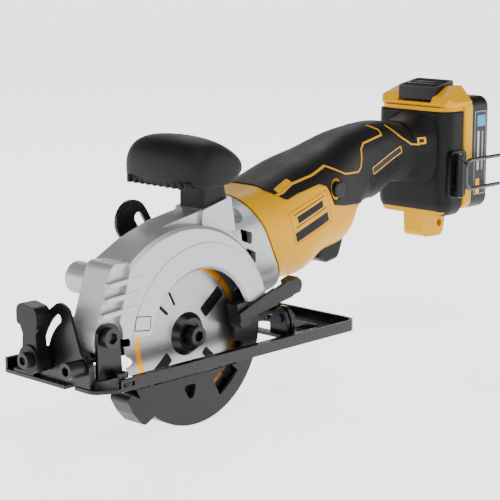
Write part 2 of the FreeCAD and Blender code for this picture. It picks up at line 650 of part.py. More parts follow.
def gear_case():
    """The casting between guard and motor, with the gear chamber, cooling windows and bearing seats."""
    neck = Part.makeLoft([section(*station) for station in NECK + (FLANGE,)], True, True)
    drum = disc_y(DRUM_R, GUARD_FAR_Y, 38.5)
    tail = disc_y(13.0, 38.0, 49.0)
    snout = disc_y(SNOUT_R, 7.4, GUARD_FAR_Y)
    lock_boss = rod(lock_line() * 16.5 + vec(0, 24, 0), lock_line(), 8.0, 24.5)
    bolt_spot = polar(DEPTH_SLOT_R, DEPTH_BOLT_ANGLE, 44.0, DEPTH_PIVOT)
    bolt_boss = rod(bolt_spot, Y_AXIS, 9.0, 5.4)
    neck = neck.cut(guard_outline(-30.0, GUARD_FAR_Y))
    skin = joined(neck, drum, tail, snout, lock_boss, bolt_boss)
    throat = Part.makeLoft([section(*station) for station in THROAT], True, True)
    seat = rod(on_motor(27.0), MOTOR_AXIS, 15.0, 12.5).common(throat)
    windows = [plate_y([(57.3, 64.3, 1), (66.0, 60.8, 1), (66.5, 52.0, 1), (58.5, 55.5, 1)], -12, 22),
               plate_y([(62.0, 50.3, 1), (70.3, 46.0, 1), (71.5, 37.5, 1), (64.3, 41.4, 1)], -12, 22),
               plate_y([(67.0, 36.5, 1), (74.0, 32.0, 1), (74.6, 24.0, 1), (68.6, 27.0, 1)], -12, 22),
               disc_y(5.2, -12, 14.0, 57.0, 73.0)]
    chamber = joined(disc_y(CHAMBER_R, 17.2, 38.0), rod(on_motor(8.0), MOTOR_AXIS, 6.0, 30.0))
    cuts = [chamber, disc_y(13.0 + FIT, 9.0, 17.3), disc_y(9.5 + FIT, 40.2, 46.5), disc_y(8.4, 7.0, 9.1),
            disc_y(4.6, 37.0, 41.0), rod(lock_line() * 12 + vec(0, 24, 0), lock_line(), 4.0 + FIT, 40),
            rod(bolt_spot, Y_AXIS, 3.0, 8.0), rod(on_motor(31.0), MOTOR_AXIS, 11.0 + FIT, 14.0)]
    cuts += [disc_y(1.65, 39.0, 50.0, x, z) for x, z in CASE_SCREWS]
    shell = minus(skin, throat, *windows)
    web = minus(seat, rod(on_motor(31.0), MOTOR_AXIS, 11.0 + FIT, 20.0))
    return minus(joined(shell, web), *cuts)


def gear_case_screws():
    return [cap_screw(vec(x, 49.0, z), -Y_AXIS, 1.65, 9.0, 3.0, 2.4) for x, z in CASE_SCREWS]


# ---- front handle ----
def stem_form():
    low = outline([(11.8, -4.2, 3), (36.6, -4.2, 3), (36.6, 19.2, 3), (11.8, 19.2, 3)],
                  lambda p: vec(p.x, p.y, 84.4 + 6.4 / 27 * (p.x - 10.5)))
    high = outline([(12.6, -2.6, 3), (31.4, -2.6, 3), (31.4, 19.6, 3), (12.6, 19.6, 3)],
                   lambda p: vec(p.x, p.y, 108.0))
    return Part.makeLoft([low, high], True, True)


def front_handle_stem():
    return minus(stem_form(), rod(HANDLE_BOLT, HANDLE_AXIS, 3.1, 45))


def front_handle_grip():
    """The palm grip: tall and blunt in front, tapering to the rear, with scallops under its front edge."""
    side = [(-12.5, 101.0, 6), (-14.0, 124.0, 14), (2.0, 135.0, 16), (18.0, 133.5, 18), (39.5, 121.0, 7),
            (38.0, 110.5, 6), (20.0, 101.5, 10)]
    plan = [(-14.5, -23.0, 12), (40.0, -19.0, 13), (40.0, 47.0, 13), (-14.5, 51.0, 12)]
    grip = plate_y(side, -23.0, 51.0).common(plate_z(plan, 98.0, 138.0))
    crown = plate_x([(-23.0, 106.0, 6), (-23.0, 122.0, 12), (-6.0, 136.0, 26), (34.0, 136.0, 26),
                     (51.0, 122.0, 12), (51.0, 106.0, 6), (46.0, 100.9, 3), (-18.0, 100.9, 3)], -16.0, 42.0)
    scallops = [rod(vec(-20, -14.5 + 6.4 * i, 103.0), vec(1, 0, 0.1), 2.2, 12) for i in range(10)]
    return minus(grip.common(crown), stem_form(), *scallops)


def front_handle_bolt():
    return cap_screw(HANDLE_BOLT + HANDLE_AXIS * 3, HANDLE_AXIS, 3.0, 30.0, 4.8, 4.0)


# ---- lower guard ----
def lower_guard():
    """The swinging guard: two side walls and a rim on a hub that turns on the gear case snout."""
    rim = sector(LOWER_R - 2.2, LOWER_R, LOWER_START, LOWER_END, -9.0, 7.2)
    near = sector(47.5, LOWER_R, LOWER_START, LOWER_END, -9.0, -6.8)
    lip = disc_y(LOWER_R - 1, -9.0, -6.8).common(block(-60, 52, -10, 0, -70, -27))
    far = disc_y(LOWER_R - 1, 5.2, 7.2).common(
        joined(plate_y([(0, 0, 0), (-60, -37.5, 0), (-60, -80, 0), (80, -80, 0), (80, 29, 0)], 5.2, 7.2),
               disc_y(23.5, 5.2, 7.2)))
    hub = disc_y(23.5, 5.2, 10.2)
    nose = plate_y([(-52.6, -32.9, 0), (-61.0, -28.5, 3), (-64.0, -33.0, 3), (-58.5, -42.5, 6),
                    (-49.5, -52.5, 4), (-40.5, -48.0, 3), (-40.0, -42.0, 0)], -10.5, 7.2)
    nose = nose.cut(disc_y(LOWER_R - 2.2, -6.8, 5.2))
    block_rear = plate_y([(31.8, 17.6, 1), (44.6, 17.6, 0), (47.6, 2.0, 2), (36.0, -1.0, 3)], -16.9, -6.8)
    block_rear = block_rear.common(disc_y(45.6, -17, 0))
    bridge = sector(38.0, 52.0, 345.0, 378.5, -9.0, -6.8)
    body = joined(rim, near, lip, far, hub, nose, bridge, block_rear)
    kidney = sector(38.5, 51.5, 296, 322, -12, -3)
    drop = plate_y([(-13.0, -33.0, 2.5), (0.5, -33.0, 2.5), (-4.0, -47.0, 3)], -12, -3)
    return minus(body, disc_y(SNOUT_R + FIT, 0, 20), kidney, drop, disc_y(17.0, -20, 5))


def guard_lever():
    """The thumb lever screwed to the lower guard, reaching out in front of the upper guard."""
    arm = sector(34.0, 72.0, 9.0, 19.0, -19.4, -16.9)
    tip = sector(87.5, 96.0, 10.2, 17.0, -19.4, -9.5)
    link = sector(71.0, 88.0, 9.6, 18.0, -19.4, -16.6)
    bulge = rod(polar(93.0, 13.6, -19.4), Y_AXIS, 5.5, 9.9)
    return joined(arm, link, tip, bulge)


def guard_return_spring():
    """The torsion spring around the hub, with a straight leg at each end."""
    coil = Part.makeTorus(27.0, 0.8, vec(0, 8.9, 0), Y_AXIS, -180, 180, 300)
    leg = rod(vec(0, 8.9, 27.0), vec(1, 0, 0.2), 0.8, 6)
    return joined(coil, leg) if coil.common(leg).Volume > 0 else coil


# ---- shoe, bevel frame and levers ----
def shoe():
    """Pressed steel sole with turned-up edges, the blade opening and slots for a fence bar."""
    top = SOLE_Z + SHOE_T
    corners = [(SHOE_FRONT, SHOE_FAR, 2), (SHOE_FRONT, 3.5, 2), (-102.0, 1.5, 2), (-102.0, -20.0, 8),
               (-88.0, SHOE_NEAR, 10), (SHOE_REAR, SHOE_NEAR, 9), (SHOE_REAR, SHOE_FAR, 4)]
    sole = plate_z(corners, SOLE_Z, top)
    opening = plate_z([(-67, -15.5, 3), (119, -15.5, 4), (119, 40, 4), (-67, 40, 3)], SOLE_Z - 1, top + 9)
    flange_top = SOLE_Z + FLANGE_UP
    near = block(-85.5, SHOE_REAR - 7, SHOE_NEAR, SHOE_NEAR + 2.2, SOLE_Z, flange_top)
    lip = block(-64.0, 116.0, -17.6, -15.5, SOLE_Z, SOLE_Z + 5.0)
    far = block(SHOE_FRONT + 1, SHOE_REAR - 2, SHOE_FAR - 2.2, SHOE_FAR, SOLE_Z, flange_top + 2.0)
    rear = block(SHOE_REAR - 2.2, SHOE_REAR, SHOE_NEAR + 7, SHOE_FAR - 2, SOLE_Z, flange_top)
    corner = pipe(vec(SHOE_REAR - 9, SHOE_NEAR + 9, SOLE_Z), Z_AXIS, 9.0, 6.8, FLANGE_UP)
    corner = corner.common(block(SHOE_REAR - 9, SHOE_REAR, SHOE_NEAR, SHOE_NEAR + 9, SOLE_Z, flange_top))
    rear_lip = block(119.0, 121.0, -12.0, 36.0, SOLE_Z, SOLE_Z + 5.5)
    ear = plate_x([(-16.5, SOLE_Z + 1, 0), (-16.5, -4, 5), (-12, 5.5, 5), (-3, 5.5, 5), (2.5, -6, 5),
                   (2.5, SOLE_Z + 1, 0)], 88.2, 91.2)
    ear_foot = block(88.2, 119.5, -16.5, 2.5, SOLE_Z, top)
    slots = [block(-83.5, -74.0, y, y + 9.0, top + 0.4, top + 3.4) for y in (SHOE_FAR - 6, SHOE_NEAR - 5)]
    sight = block(SHOE_FRONT - 1, SHOE_FRONT + 9, -2.5, 3.5, SOLE_Z - 1, top + 1)
    holes = [rod(vec(80, BEVEL_Y, BEVEL_Z), X_AXIS, 3.0 + FIT, 20), rod(vec(-79, -22, -30), Z_AXIS, 2.0, 40)]
    body = joined(sole, near, far, rear, corner).cut(opening)
    body = joined(body, lip, rear_lip, ear, ear_foot)
    return minus(body, *slots, *holes, sight)


def bevel_quadrant():
    """The slotted plate across the front of the shoe, turning on the front bevel pivot."""
    x0 = -101.0
    x1 = -99.0
    low = SOLE_Z + SHOE_T
    fan_shape = plate_x([(-16.0, low, 0), (-16.0, 0.0, 7), (-8.0, 5.0, 6), (3.0, 33.0, 6), (12.0, 37.5, 8),
                         (28.0, 26.0, 12), (36.5, 5.0, 8), (37.0, low, 0)], x0, x1)
    foot = block(SHOE_FRONT + 0.5, x1, 36.0, 56.0, low, low + 2.0)
    foot_low = block(x0, x1, 30.0, 56.0, low, low + 6)
    slot_parts = []
    for step in range(11):
        angle = math.radians(BEVEL_BOLT_ANGLE + BEVEL_RANGE * step / 10)
        slot_parts.append(rod(vec(x0 - 1, BEVEL_Y + BEVEL_SLOT_R * math.cos(angle),
                                  BEVEL_Z + BEVEL_SLOT_R * math.sin(angle)), X_AXIS, 3.3, 4))
    ring = pipe(vec(x0 - 1, BEVEL_Y, BEVEL_Z), X_AXIS, BEVEL_SLOT_R + 3.2, BEVEL_SLOT_R - 3.2, 4)
    wedge_points = [vec(x0 - 1, BEVEL_Y, BEVEL_Z)]
    for degrees in (BEVEL_BOLT_ANGLE, BEVEL_BOLT_ANGLE + BEVEL_RANGE / 2, BEVEL_BOLT_ANGLE + BEVEL_RANGE):
        angle = math.radians(degrees)
        wedge_points.append(vec(x0 - 1, BEVEL_Y + 60 * math.cos(angle), BEVEL_Z + 60 * math.sin(angle)))
    wedge_points.append(wedge_points[0])
    wedge = Part.Face(Part.makePolygon(wedge_points)).extrude(vec(4, 0, 0))
    pivot = rod(vec(x0 - 1, BEVEL_Y, BEVEL_Z), X_AXIS, 3.0 + FIT, 4)
    return minus(joined(fan_shape, foot, foot_low), ring.common(wedge), pivot, *slot_parts)


def front_yoke():
    """The bracket between guard and shoe: two ears on the depth pivot, a base and a front plate."""
    px, pz = DEPTH_PIVOT
    base_z = YOKE_LOW
    ears = []
    for y0, y1 in ((YOKE_EAR_Y - 2.5, YOKE_EAR_Y), (15.5, 18.0)):
        ear = plate_y([(px - 9.0, base_z, 0), (px - 9.0, pz + 8.5, 7), (px + 9.0, pz + 8.5, 7),
                       (px + 12.0, base_z, 0)], y0, y1)
        ears.append(ear)
    base = block(-97.0, -72.0, -14.0, DEPTH_PLATE_Y, base_z, base_z + 2.5)
    front = plate_x([(-15.0, base_z, 0), (-15.0, 3.0, 6), (-2.0, 4.0, 4), (14.0, 4.0, 4), (33.5, 5.0, 6),
                     (34.0, base_z, 0)], -98.5, -96.0)
    holes = [disc_y(4.0 + FIT, -40, 40, px, pz), rod(vec(-100, BEVEL_Y, BEVEL_Z), X_AXIS, 3.0, 6),
             rod(polar_x(BEVEL_SLOT_R, BEVEL_BOLT_ANGLE, -100.0), X_AXIS, 2.9, 6)]
    return minus(joined(base, front, *ears), *holes)


def polar_x(radius, degrees, x):
    """A point about the bevel axis, at an angle measured from +Y towards +Z."""
    angle = math.radians(degrees)
    return vec(x, BEVEL_Y + radius * math.cos(angle), BEVEL_Z + radius * math.sin(angle))


def depth_bracket():
    """The slotted arc beside the gear case, its foot strip and the bar to the rear bevel pivot."""
    y0 = DEPTH_PLATE_Y
    y1 = DEPTH_PLATE_Y + DEPTH_PLATE_T
    base_z = SOLE_Z + SHOE_T + 0.5
    arc = joined(sector(84.5, 114.0, -16.0, 35.0, y0, y1, DEPTH_PIVOT),
                 rod(polar(99.25, 35.0, y0, DEPTH_PIVOT), Y_AXIS, 14.75, y1 - y0))
    slot = sector(DEPTH_SLOT_R - DEPTH_SLOT_W / 2, DEPTH_SLOT_R + DEPTH_SLOT_W / 2,
                  DEPTH_BOLT_ANGLE, 34.0, y0 - 1, y1 + 1, DEPTH_PIVOT)
    ends = [rod(polar(DEPTH_SLOT_R, angle, y0 - 1, DEPTH_PIVOT), Y_AXIS, DEPTH_SLOT_W / 2, 5)
            for angle in (DEPTH_BOLT_ANGLE, 34.0)]
    strip = block(-97.0, 86.0, y0, y1, base_z, -3.0)
    trimmed = block(-97.0, -20.0, y0 - 1, y1 + 1, base_z + 7, 5)
    bar = block(79.0, 86.0, -14.0, y1, base_z, base_z + 2.5)
    ear = plate_x([(-15.5, base_z, 0), (-15.5, -4, 5), (-11.5, 4.5, 5), (-4, 4.5, 5), (1.5, -6, 5),
                   (1.5, base_z, 0)], 84.8, 87.6)
    arc = arc.common(block(-120, 60, y0, y1, base_z, 120))
    body = joined(arc, strip, bar, ear)
    return minus(body, slot, *ends, trimmed, rod(vec(80, BEVEL_Y, BEVEL_Z), X_AXIS, 3.0, 12))


def depth_pivot_screw():
    px, pz = DEPTH_PIVOT
    screw = cap_screw(vec(px, YOKE_EAR_Y - 2.5, pz), Y_AXIS, 4.0, 36.5, 6.6, 4.4)
    nut = pipe(vec(px, 18.0, pz), Y_AXIS, 6.5, 4.0, 4.5)
    return [joined(screw, nut)]


def bevel_pivot_screws():
    front = cap_screw(vec(-101.1, BEVEL_Y, BEVEL_Z), X_AXIS, 3.0, 8.0, 5.6, 13.0)
    rear = cap_screw(vec(91.3, BEVEL_Y, BEVEL_Z), -X_AXIS, 3.0, 8.0, 5.0, 4.0)
    return [front, rear]


def fence_clamp_screw():
    return cap_screw(vec(-79, -22, SOLE_Z + SHOE_T + 5.5), -Z_AXIS, 1.95, 7.4, 4.2, 3.0)


LEVER_X = -110.0


def bevel_clamp_bolt():
    spot = polar_x(BEVEL_SLOT_R, BEVEL_BOLT_ANGLE, LEVER_X - 5.0)
    bolt = cap_screw(spot, X_AXIS, 2.85, 19.5, 5.2, 4.5)
    washer = pipe(polar_x(BEVEL_SLOT_R, BEVEL_BOLT_ANGLE, -102.9), X_AXIS, 7.5, 2.85, 1.7)
    return joined(bolt, washer)


def bevel_lever():
    """The clamp lever with its rounded finger cap."""
    y0 = BEVEL_Y + BEVEL_SLOT_R * math.cos(math.radians(BEVEL_BOLT_ANGLE))
    z0 = BEVEL_Z + BEVEL_SLOT_R * math.sin(math.radians(BEVEL_BOLT_ANGLE))
    boss = rod(vec(LEVER_X - 4.9, y0, z0), X_AXIS, 9.5, 11.9)
    arm = plate_x([(y0 - 8, z0, 0), (y0 - 6.5, z0 + 17, 2), (y0 - 10, z0 + 22, 2), (y0 - 10.5, z0 + 35, 6),
                   (y0 + 9.0, z0 + 37, 6), (y0 + 9.5, z0 + 22, 3), (y0 + 6.5, z0 + 16, 2), (y0 + 8, z0, 0)],
                  LEVER_X - 3.5, LEVER_X + 5.0)
    cap = plate_x([(y0 - 11, z0 + 21, 3), (y0 - 11, z0 + 35, 6), (y0 + 9.5, z0 + 38, 6),
                   (y0 + 9.5, z0 + 23, 3)],
                  LEVER_X - 6.0, LEVER_X + 5.5)
    return minus(joined(boss, arm, cap), rod(vec(LEVER_X - 10, y0, z0), X_AXIS, 2.9, 30))


def depth_clamp_bolt():
    spot = polar(DEPTH_SLOT_R, DEPTH_BOLT_ANGLE, 61.5, DEPTH_PIVOT)
    return cap_screw(spot, -Y_AXIS, 2.95, 17.5, 5.4, 3.6)


def depth_lever():
    spot = polar(DEPTH_SLOT_R, DEPTH_BOLT_ANGLE, 52.8, DEPTH_PIVOT)
    x0 = spot.x
    z0 = spot.z
    boss = rod(spot, Y_AXIS, 8.5, 8.5)
    arm = plate_y([(x0 - 6, z0, 0), (x0 - 4.5, z0 + 34, 4), (x0 + 5.5, z0 + 35, 4), (x0 + 7, z0, 0)],
                  54.5, 59.5)
    return minus(joined(boss, arm), rod(spot - Y_AXIS, Y_AXIS, 2.95 + FIT, 12))


# ---- buttons, trigger and hook ----
def trigger():
    """The finger trigger and the guide block above it, which stays inside the housing."""
    x0 = TRIGGER_X[0] + 0.4
    x1 = TRIGGER_X[1] - 0.6
    half = TRIGGER_HALF - 0.4
    finger = plate_y([(x0, 68, 0), (x0, 43, 5), (x1 - 6, 44.5, 5), (x1, 54, 4), (x1, 68, 0)],
                     MID_Y - half, MID_Y + half)
    hollow = disc_y(5.0, MID_Y - 20, MID_Y + 20, x1 + 3.0, 50.5)
    guide = block(x0 + 1, x1 - 1, MID_Y - 6, MID_Y + 6, 66, 76)
    return joined(minus(finger, hollow), guide)


def lock_off_button():
    bar = disc_y(LOCK_OFF_R, -1.8, 70.6, *LOCK_OFF)
    ends = [edge for edge in bar.Edges if edge.BoundBox.YLength < 0.01]
    return bar.makeFillet(1.2, ends)


def spindle_lock_button():
    base = vec(0, 24, 0)
    pin = rod(lock_line() * 16.0 + base, lock_line(), 2.3, 6.0)
    stem = rod(lock_line() * 21.0 + base, lock_line(), 4.0, 23.8)
    head = rod(lock_line() * 44.6 + base, lock_line(), 7.4, 4.0)
    return joined(pin, stem, head)


HOOK_PIN = (297.0, -7.2)


def hook_bracket():
    """The bracket screwed to the side of the foot, with two knuckles for the hook's pin."""
    near = MID_Y - FOOT_HALF
    plate = plate_y([(290.0, 58.0, 4), (311.0, 58.0, 4), (311.0, 96.0, 4), (290.0, 96.0, 4)],
                    near - 2.6, near)
    knuckles = [rod(vec(HOOK_PIN[0], HOOK_PIN[1], z), Z_AXIS, 3.4, 5.0) for z in (60.0, 89.0)]
    webs = [block(HOOK_PIN[0] - 3.4, HOOK_PIN[0] + 3.4, HOOK_PIN[1], near - 2, z, z + 5.0)
            for z in (60.0, 89.0)]
    body = joined(plate, *knuckles, *webs)
    return minus(body, rod(vec(HOOK_PIN[0], HOOK_PIN[1], 50), Z_AXIS, 1.5, 60))


def hook_pin():
    return rod(vec(HOOK_PIN[0], HOOK_PIN[1], 59.4), Z_AXIS, 1.5, 35.2)


def hook_swivel():
    barrel = pipe(vec(HOOK_PIN[0], HOOK_PIN[1], 65.4), Z_AXIS, 3.4, 1.5 + FIT, 23.2)
    body = block(HOOK_PIN[0], HOOK_PIN[0] + 12.5, HOOK_PIN[1] - 3.2, HOOK_PIN[1] + 2.6, 67.5, 86.5)
    return minus(joined(barrel, body), rod(vec(HOOK_PIN[0], HOOK_PIN[1], 60), Z_AXIS, 1.5 + FIT, 40),
                 block(300.7, 304.1, -20, -7.9, 60, 95))


def hook_wire():
    """A bent steel wire: the closed end sits in the swivel, and two prongs reach past the battery."""
    x_closed = 302.4
    x_end = 347.0
    y = -9.6
    low = 65.4
    high = 88.6
    bend = 6.0
    mid = bend * (1 - math.sqrt(0.5))
    path = [
        Part.LineSegment(vec(x_end, y, high), vec(x_closed + bend, y, high)).toShape(),
        Part.Arc(vec(x_closed + bend, y, high), vec(x_closed + mid, y, high - mid),
                 vec(x_closed, y, high - bend)).toShape(),
        Part.LineSegment(vec(x_closed, y, high - bend), vec(x_closed, y, low + bend)).toShape(),
        Part.Arc(vec(x_closed, y, low + bend), vec(x_closed + mid, y, low + mid),
                 vec(x_closed + bend, y, low)).toShape(),
        Part.LineSegment(vec(x_closed + bend, y, low), vec(x_end, y, low)).toShape(),
    ]
    spine = Part.Wire(path)
    profile = Part.Wire([Part.Circle(vec(x_end, y, high), X_AXIS, 1.6).toShape()])
    wire = spine.makePipeShell([profile], True, False)
    tips = [Part.makeSphere(1.6, vec(x_end, y, z)) for z in (low, high)]
    return joined(wire, *tips)


# ---- inside the grip ----
def switch_module():
    return block(196, 224, MID_Y - 10, MID_Y + 10, 83.5, 103)


def controller():
    return block(253, 281, MID_Y - 13, MID_Y + 13, 84, 108)


def main():
    os.makedirs("parts", exist_ok=True)
    outer = housing_solid(0.0)
    band = piping_band()
    left, right = housing_shells(outer)
    save("motor_housing_left", left)
    save("motor_housing_right", right)
    save("housing_screws", *housing_screws())
    save("grip_overmold", grip_overmold(outer, band))
    save("grip_piping", grip_piping(outer, band))
    save("belly_bumper", belly_bumper(outer))
    save("foot_shell", foot_shell())
    save("foot_overmold", foot_overmold())
    save("rail_block", rail_block())
    save("terminal_blades", *terminal_blades())
    save("switch_module", switch_module())
    save("controller", controller())

    guard = upper_guard()
    save("upper_guard", guard)
    save("gear_case", gear_case().cut(guard))
    save("gear_case_screws", *gear_case_screws())
    save("front_handle_stem", front_handle_stem())
    save("front_handle_grip", front_handle_grip())
    save("front_handle_bolt", front_handle_bolt())
    save("depth_clamp_bolt", depth_clamp_bolt())
    save("spindle_bearing_front", ball_bearing(vec(0, 9.0, 0), Y_AXIS, 13.0, 7.5, 8.0))
    save("spindle_bearing_rear", ball_bearing(vec(0, 40.2, 0), Y_AXIS, 9.5, 4.0, 5.6))
    save("rotor_bearing_front", ball_bearing(on_motor(31.0), MOTOR_AXIS, 11.0, 3.95, 7.0))
    save("rotor_bearing_rear", ball_bearing(on_motor(146.5), MOTOR_AXIS, 8.0, 3.95, 5.0))
    save("motor_end_plate", motor_end_plate())
    save("stator", stator())
    save("guard_return_spring", guard_return_spring())
    save("hook_bracket", hook_bracket())
    save("hook_pin", hook_pin())

    tips = blade_tips()
    save("blade", minus(blade(), *tips))
    save("blade_tips", *tips)
    save("spindle_shaft", spindle_shaft())
    save("ring_gear", ring_gear())
    save("inner_flange", inner_flange())
    save("outer_flange", outer_flange())
    save("blade_bolt", blade_bolt())

    save("rotor_core", rotor_core())
    save("rotor_shaft", rotor_shaft())
    save("cooling_fan", fan())
    save("pinion", pinion())

    save("lower_guard", lower_guard())
    save("guard_lever", guard_lever())

    save("shoe", shoe())
    save("bevel_quadrant", bevel_quadrant())
    save("fence_clamp_screw", fence_clamp_screw())
    save("front_yoke", front_yoke())
    save("depth_bracket", depth_bracket())
    save("depth_pivot_screw", *depth_pivot_screw())
    save("bevel_pivot_screws", *bevel_pivot_screws())
    save("bevel_lever", bevel_lever())
    save("bevel_clamp_bolt", bevel_clamp_bolt())
    save("depth_lever", depth_lever())

    save("trigger", trigger())
    save("lock_off_button", lock_off_button())
    save("spindle_lock_button", spindle_lock_button())
    wire = hook_wire()
    save("hook_swivel", hook_swivel().cut(wire))
    save("hook_wire", wire)
    save("battery_cap", battery_cap())
    save("battery_case", battery_case())
    save("battery_cells", *battery_cells())
    save("battery_latch", battery_latch())


main()
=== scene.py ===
"""Looks of a cordless trim saw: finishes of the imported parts, pieces made here, floor, light and camera."""
import math

import bmesh
import bpy
from mathutils import Matrix, Vector


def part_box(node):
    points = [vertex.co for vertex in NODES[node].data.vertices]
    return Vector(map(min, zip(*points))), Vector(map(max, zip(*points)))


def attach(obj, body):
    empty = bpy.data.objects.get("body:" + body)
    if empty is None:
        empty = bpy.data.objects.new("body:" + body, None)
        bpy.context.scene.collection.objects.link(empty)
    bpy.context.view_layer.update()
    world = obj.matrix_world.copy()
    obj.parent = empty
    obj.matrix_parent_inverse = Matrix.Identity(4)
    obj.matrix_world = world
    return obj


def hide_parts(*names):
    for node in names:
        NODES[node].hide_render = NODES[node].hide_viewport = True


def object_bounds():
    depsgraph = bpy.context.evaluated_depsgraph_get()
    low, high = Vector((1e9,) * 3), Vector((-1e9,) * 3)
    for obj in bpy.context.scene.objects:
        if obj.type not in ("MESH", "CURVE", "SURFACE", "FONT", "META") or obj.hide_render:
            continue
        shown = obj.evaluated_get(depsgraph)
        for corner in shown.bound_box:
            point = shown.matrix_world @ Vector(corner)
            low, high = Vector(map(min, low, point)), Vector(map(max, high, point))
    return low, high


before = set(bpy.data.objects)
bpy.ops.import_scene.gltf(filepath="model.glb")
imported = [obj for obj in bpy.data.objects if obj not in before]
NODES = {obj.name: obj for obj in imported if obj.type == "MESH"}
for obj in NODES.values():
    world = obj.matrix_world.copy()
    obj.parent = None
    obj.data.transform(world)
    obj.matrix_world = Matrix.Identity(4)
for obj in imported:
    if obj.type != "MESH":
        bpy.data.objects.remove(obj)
CAD_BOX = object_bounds()
MM = 0.001
SOLE_DROP = 18.5 * MM          # height of the blade axis over the sole
RIM_HALF = 0.0004              # half the width of the line round a patch: print on most parts, painted shade round the guard's embossed plate
WORN_TONE = 0.35               # grey that rubbed places tend to
BEVEL_SAMPLES = 4
YELLOW = (0.64, 0.315, 0.0)
INK = (0.008, 0.008, 0.009)

# ---- shader helpers ----


def shader_node(tree, kind, **values):
    """A node of that kind, with its input sockets set by name, an underscore standing for a space."""
    node = tree.nodes.new(kind)
    for key, value in values.items():
        name = key.replace("_", " ")
        if name in node.inputs:
            node.inputs[name].default_value = value
        else:
            setattr(node, key, value)
    return node


def maths(tree, operation, first, second=0.0, third=None):
    """A Math node whose inputs are sockets or numbers; gives its output socket."""
    node = tree.nodes.new("ShaderNodeMath")
    node.operation = operation
    for socket, value in zip(node.inputs, (first, second, third)):
        if value is None:
            continue
        if isinstance(value, (int, float)):
            socket.default_value = value
        else:
            tree.links.new(value, socket)
    return node.outputs[0]


def mixed(tree, mask, under, over):
    """One colour over another by a mask; each colour is a socket or three numbers."""
    node = tree.nodes.new("ShaderNodeMix")
    node.data_type = "RGBA"
    tree.links.new(mask, node.inputs[0])
    for socket, value in ((node.inputs[6], under), (node.inputs[7], over)):
        if isinstance(value, (tuple, list)):
            socket.default_value = (*value, 1.0)
        else:
            tree.links.new(value, socket)
    return node.outputs[2]


def new_group(name, inputs, outputs):
    """An empty shader group with named sockets; gives the group, its input node and its output node."""
    group = bpy.data.node_groups.new(name, "ShaderNodeTree")
    for label, kind, value in inputs:
        socket = group.interface.new_socket(label, in_out="INPUT", socket_type=kind)
        if value is not None:
            socket.default_value = value
    for label, kind in outputs:
        group.interface.new_socket(label, in_out="OUTPUT", socket_type=kind)
    return group, group.nodes.new("NodeGroupInput"), group.nodes.new("NodeGroupOutput")


def moulded_grain():
    """Spark-eroded texture, soft mottling and rubbed patches, shared by nearly every finish."""
    group, given, result = new_group(
        "moulded grain",
        (("Vector", "NodeSocketVector", None), ("Normal", "NodeSocketVector", None),
         ("Grain Scale", "NodeSocketFloat", 900.0), ("Grain Depth", "NodeSocketFloat", 0.00004)),
        (("Normal", "NodeSocketVector"), ("Mottle", "NodeSocketFloat"), ("Rub", "NodeSocketFloat")))
    links = group.links
    fine = shader_node(group, "ShaderNodeTexNoise", Detail=3.0, Roughness=0.6)
    links.new(given.outputs["Vector"], fine.inputs["Vector"])
    links.new(given.outputs["Grain Scale"], fine.inputs["Scale"])
    bump = shader_node(group, "ShaderNodeBump", Strength=1.0, Distance=1.0)
    height = maths(group, "MULTIPLY", fine.outputs["Fac"], given.outputs["Grain Depth"])
    links.new(height, bump.inputs["Height"])
    links.new(given.outputs["Normal"], bump.inputs["Normal"])
    links.new(bump.outputs["Normal"], result.inputs["Normal"])
    mottle = shader_node(group, "ShaderNodeTexNoise", Scale=38.0, Detail=5.0, Roughness=0.62)
    links.new(given.outputs["Vector"], mottle.inputs["Vector"])
    links.new(mottle.outputs["Fac"], result.inputs["Mottle"])
    rub = shader_node(group, "ShaderNodeTexNoise", Scale=14.0, Detail=8.0, Roughness=0.7)
    links.new(given.outputs["Vector"], rub.inputs["Vector"])
    sharp = shader_node(group, "ShaderNodeMapRange", From_Min=0.52, From_Max=0.72)
    links.new(rub.outputs["Fac"], sharp.inputs["Value"])
    links.new(sharp.outputs["Result"], result.inputs["Rub"])
    return group


def label_patch():
    """Masks of a rounded rectangle in the XZ plane, turned by an angle, and of the line along its edge."""
    group, given, result = new_group(
        "label patch",
        (("Vector", "NodeSocketVector", None), ("Centre", "NodeSocketVector", (0.0, 0.0, 0.0)),
         ("Half Length", "NodeSocketFloat", 0.01), ("Half Height", "NodeSocketFloat", 0.005),
         ("Turn", "NodeSocketFloat", 0.0), ("Corner", "NodeSocketFloat", 0.001)),
        (("Mask", "NodeSocketFloat"), ("Rim", "NodeSocketFloat")))
    links = group.links
    centred = shader_node(group, "ShaderNodeVectorMath", operation="SUBTRACT")
    links.new(given.outputs["Vector"], centred.inputs[0])
    links.new(given.outputs["Centre"], centred.inputs[1])
    turned = shader_node(group, "ShaderNodeVectorRotate", rotation_type="Y_AXIS")
    links.new(centred.outputs["Vector"], turned.inputs["Vector"])
    links.new(given.outputs["Turn"], turned.inputs["Angle"])
    axes = shader_node(group, "ShaderNodeSeparateXYZ")
    links.new(turned.outputs["Vector"], axes.inputs["Vector"])
    over = []
    for axis, half in (("X", "Half Length"), ("Z", "Half Height")):
        inner = maths(group, "SUBTRACT", given.outputs[half], given.outputs["Corner"])
        reach = maths(group, "SUBTRACT", maths(group, "ABSOLUTE", axes.outputs[axis]), inner)
        over.append(maths(group, "MAXIMUM", reach, 0.0))
    squared = maths(group, "ADD", maths(group, "MULTIPLY", over[0], over[0]),
                    maths(group, "MULTIPLY", over[1], over[1]))
    beyond = maths(group, "SUBTRACT", maths(group, "SQRT", squared), given.outputs["Corner"])
    links.new(maths(group, "LESS_THAN", beyond, 0.0), result.inputs["Mask"])
    from_rim = maths(group, "ABSOLUTE", maths(group, "ADD", beyond, RIM_HALF))
    rim = maths(group, "LESS_THAN", from_rim, RIM_HALF)
    links.new(rim, result.inputs["Rim"])
    return group


GRAIN = moulded_grain()
PATCH = label_patch()


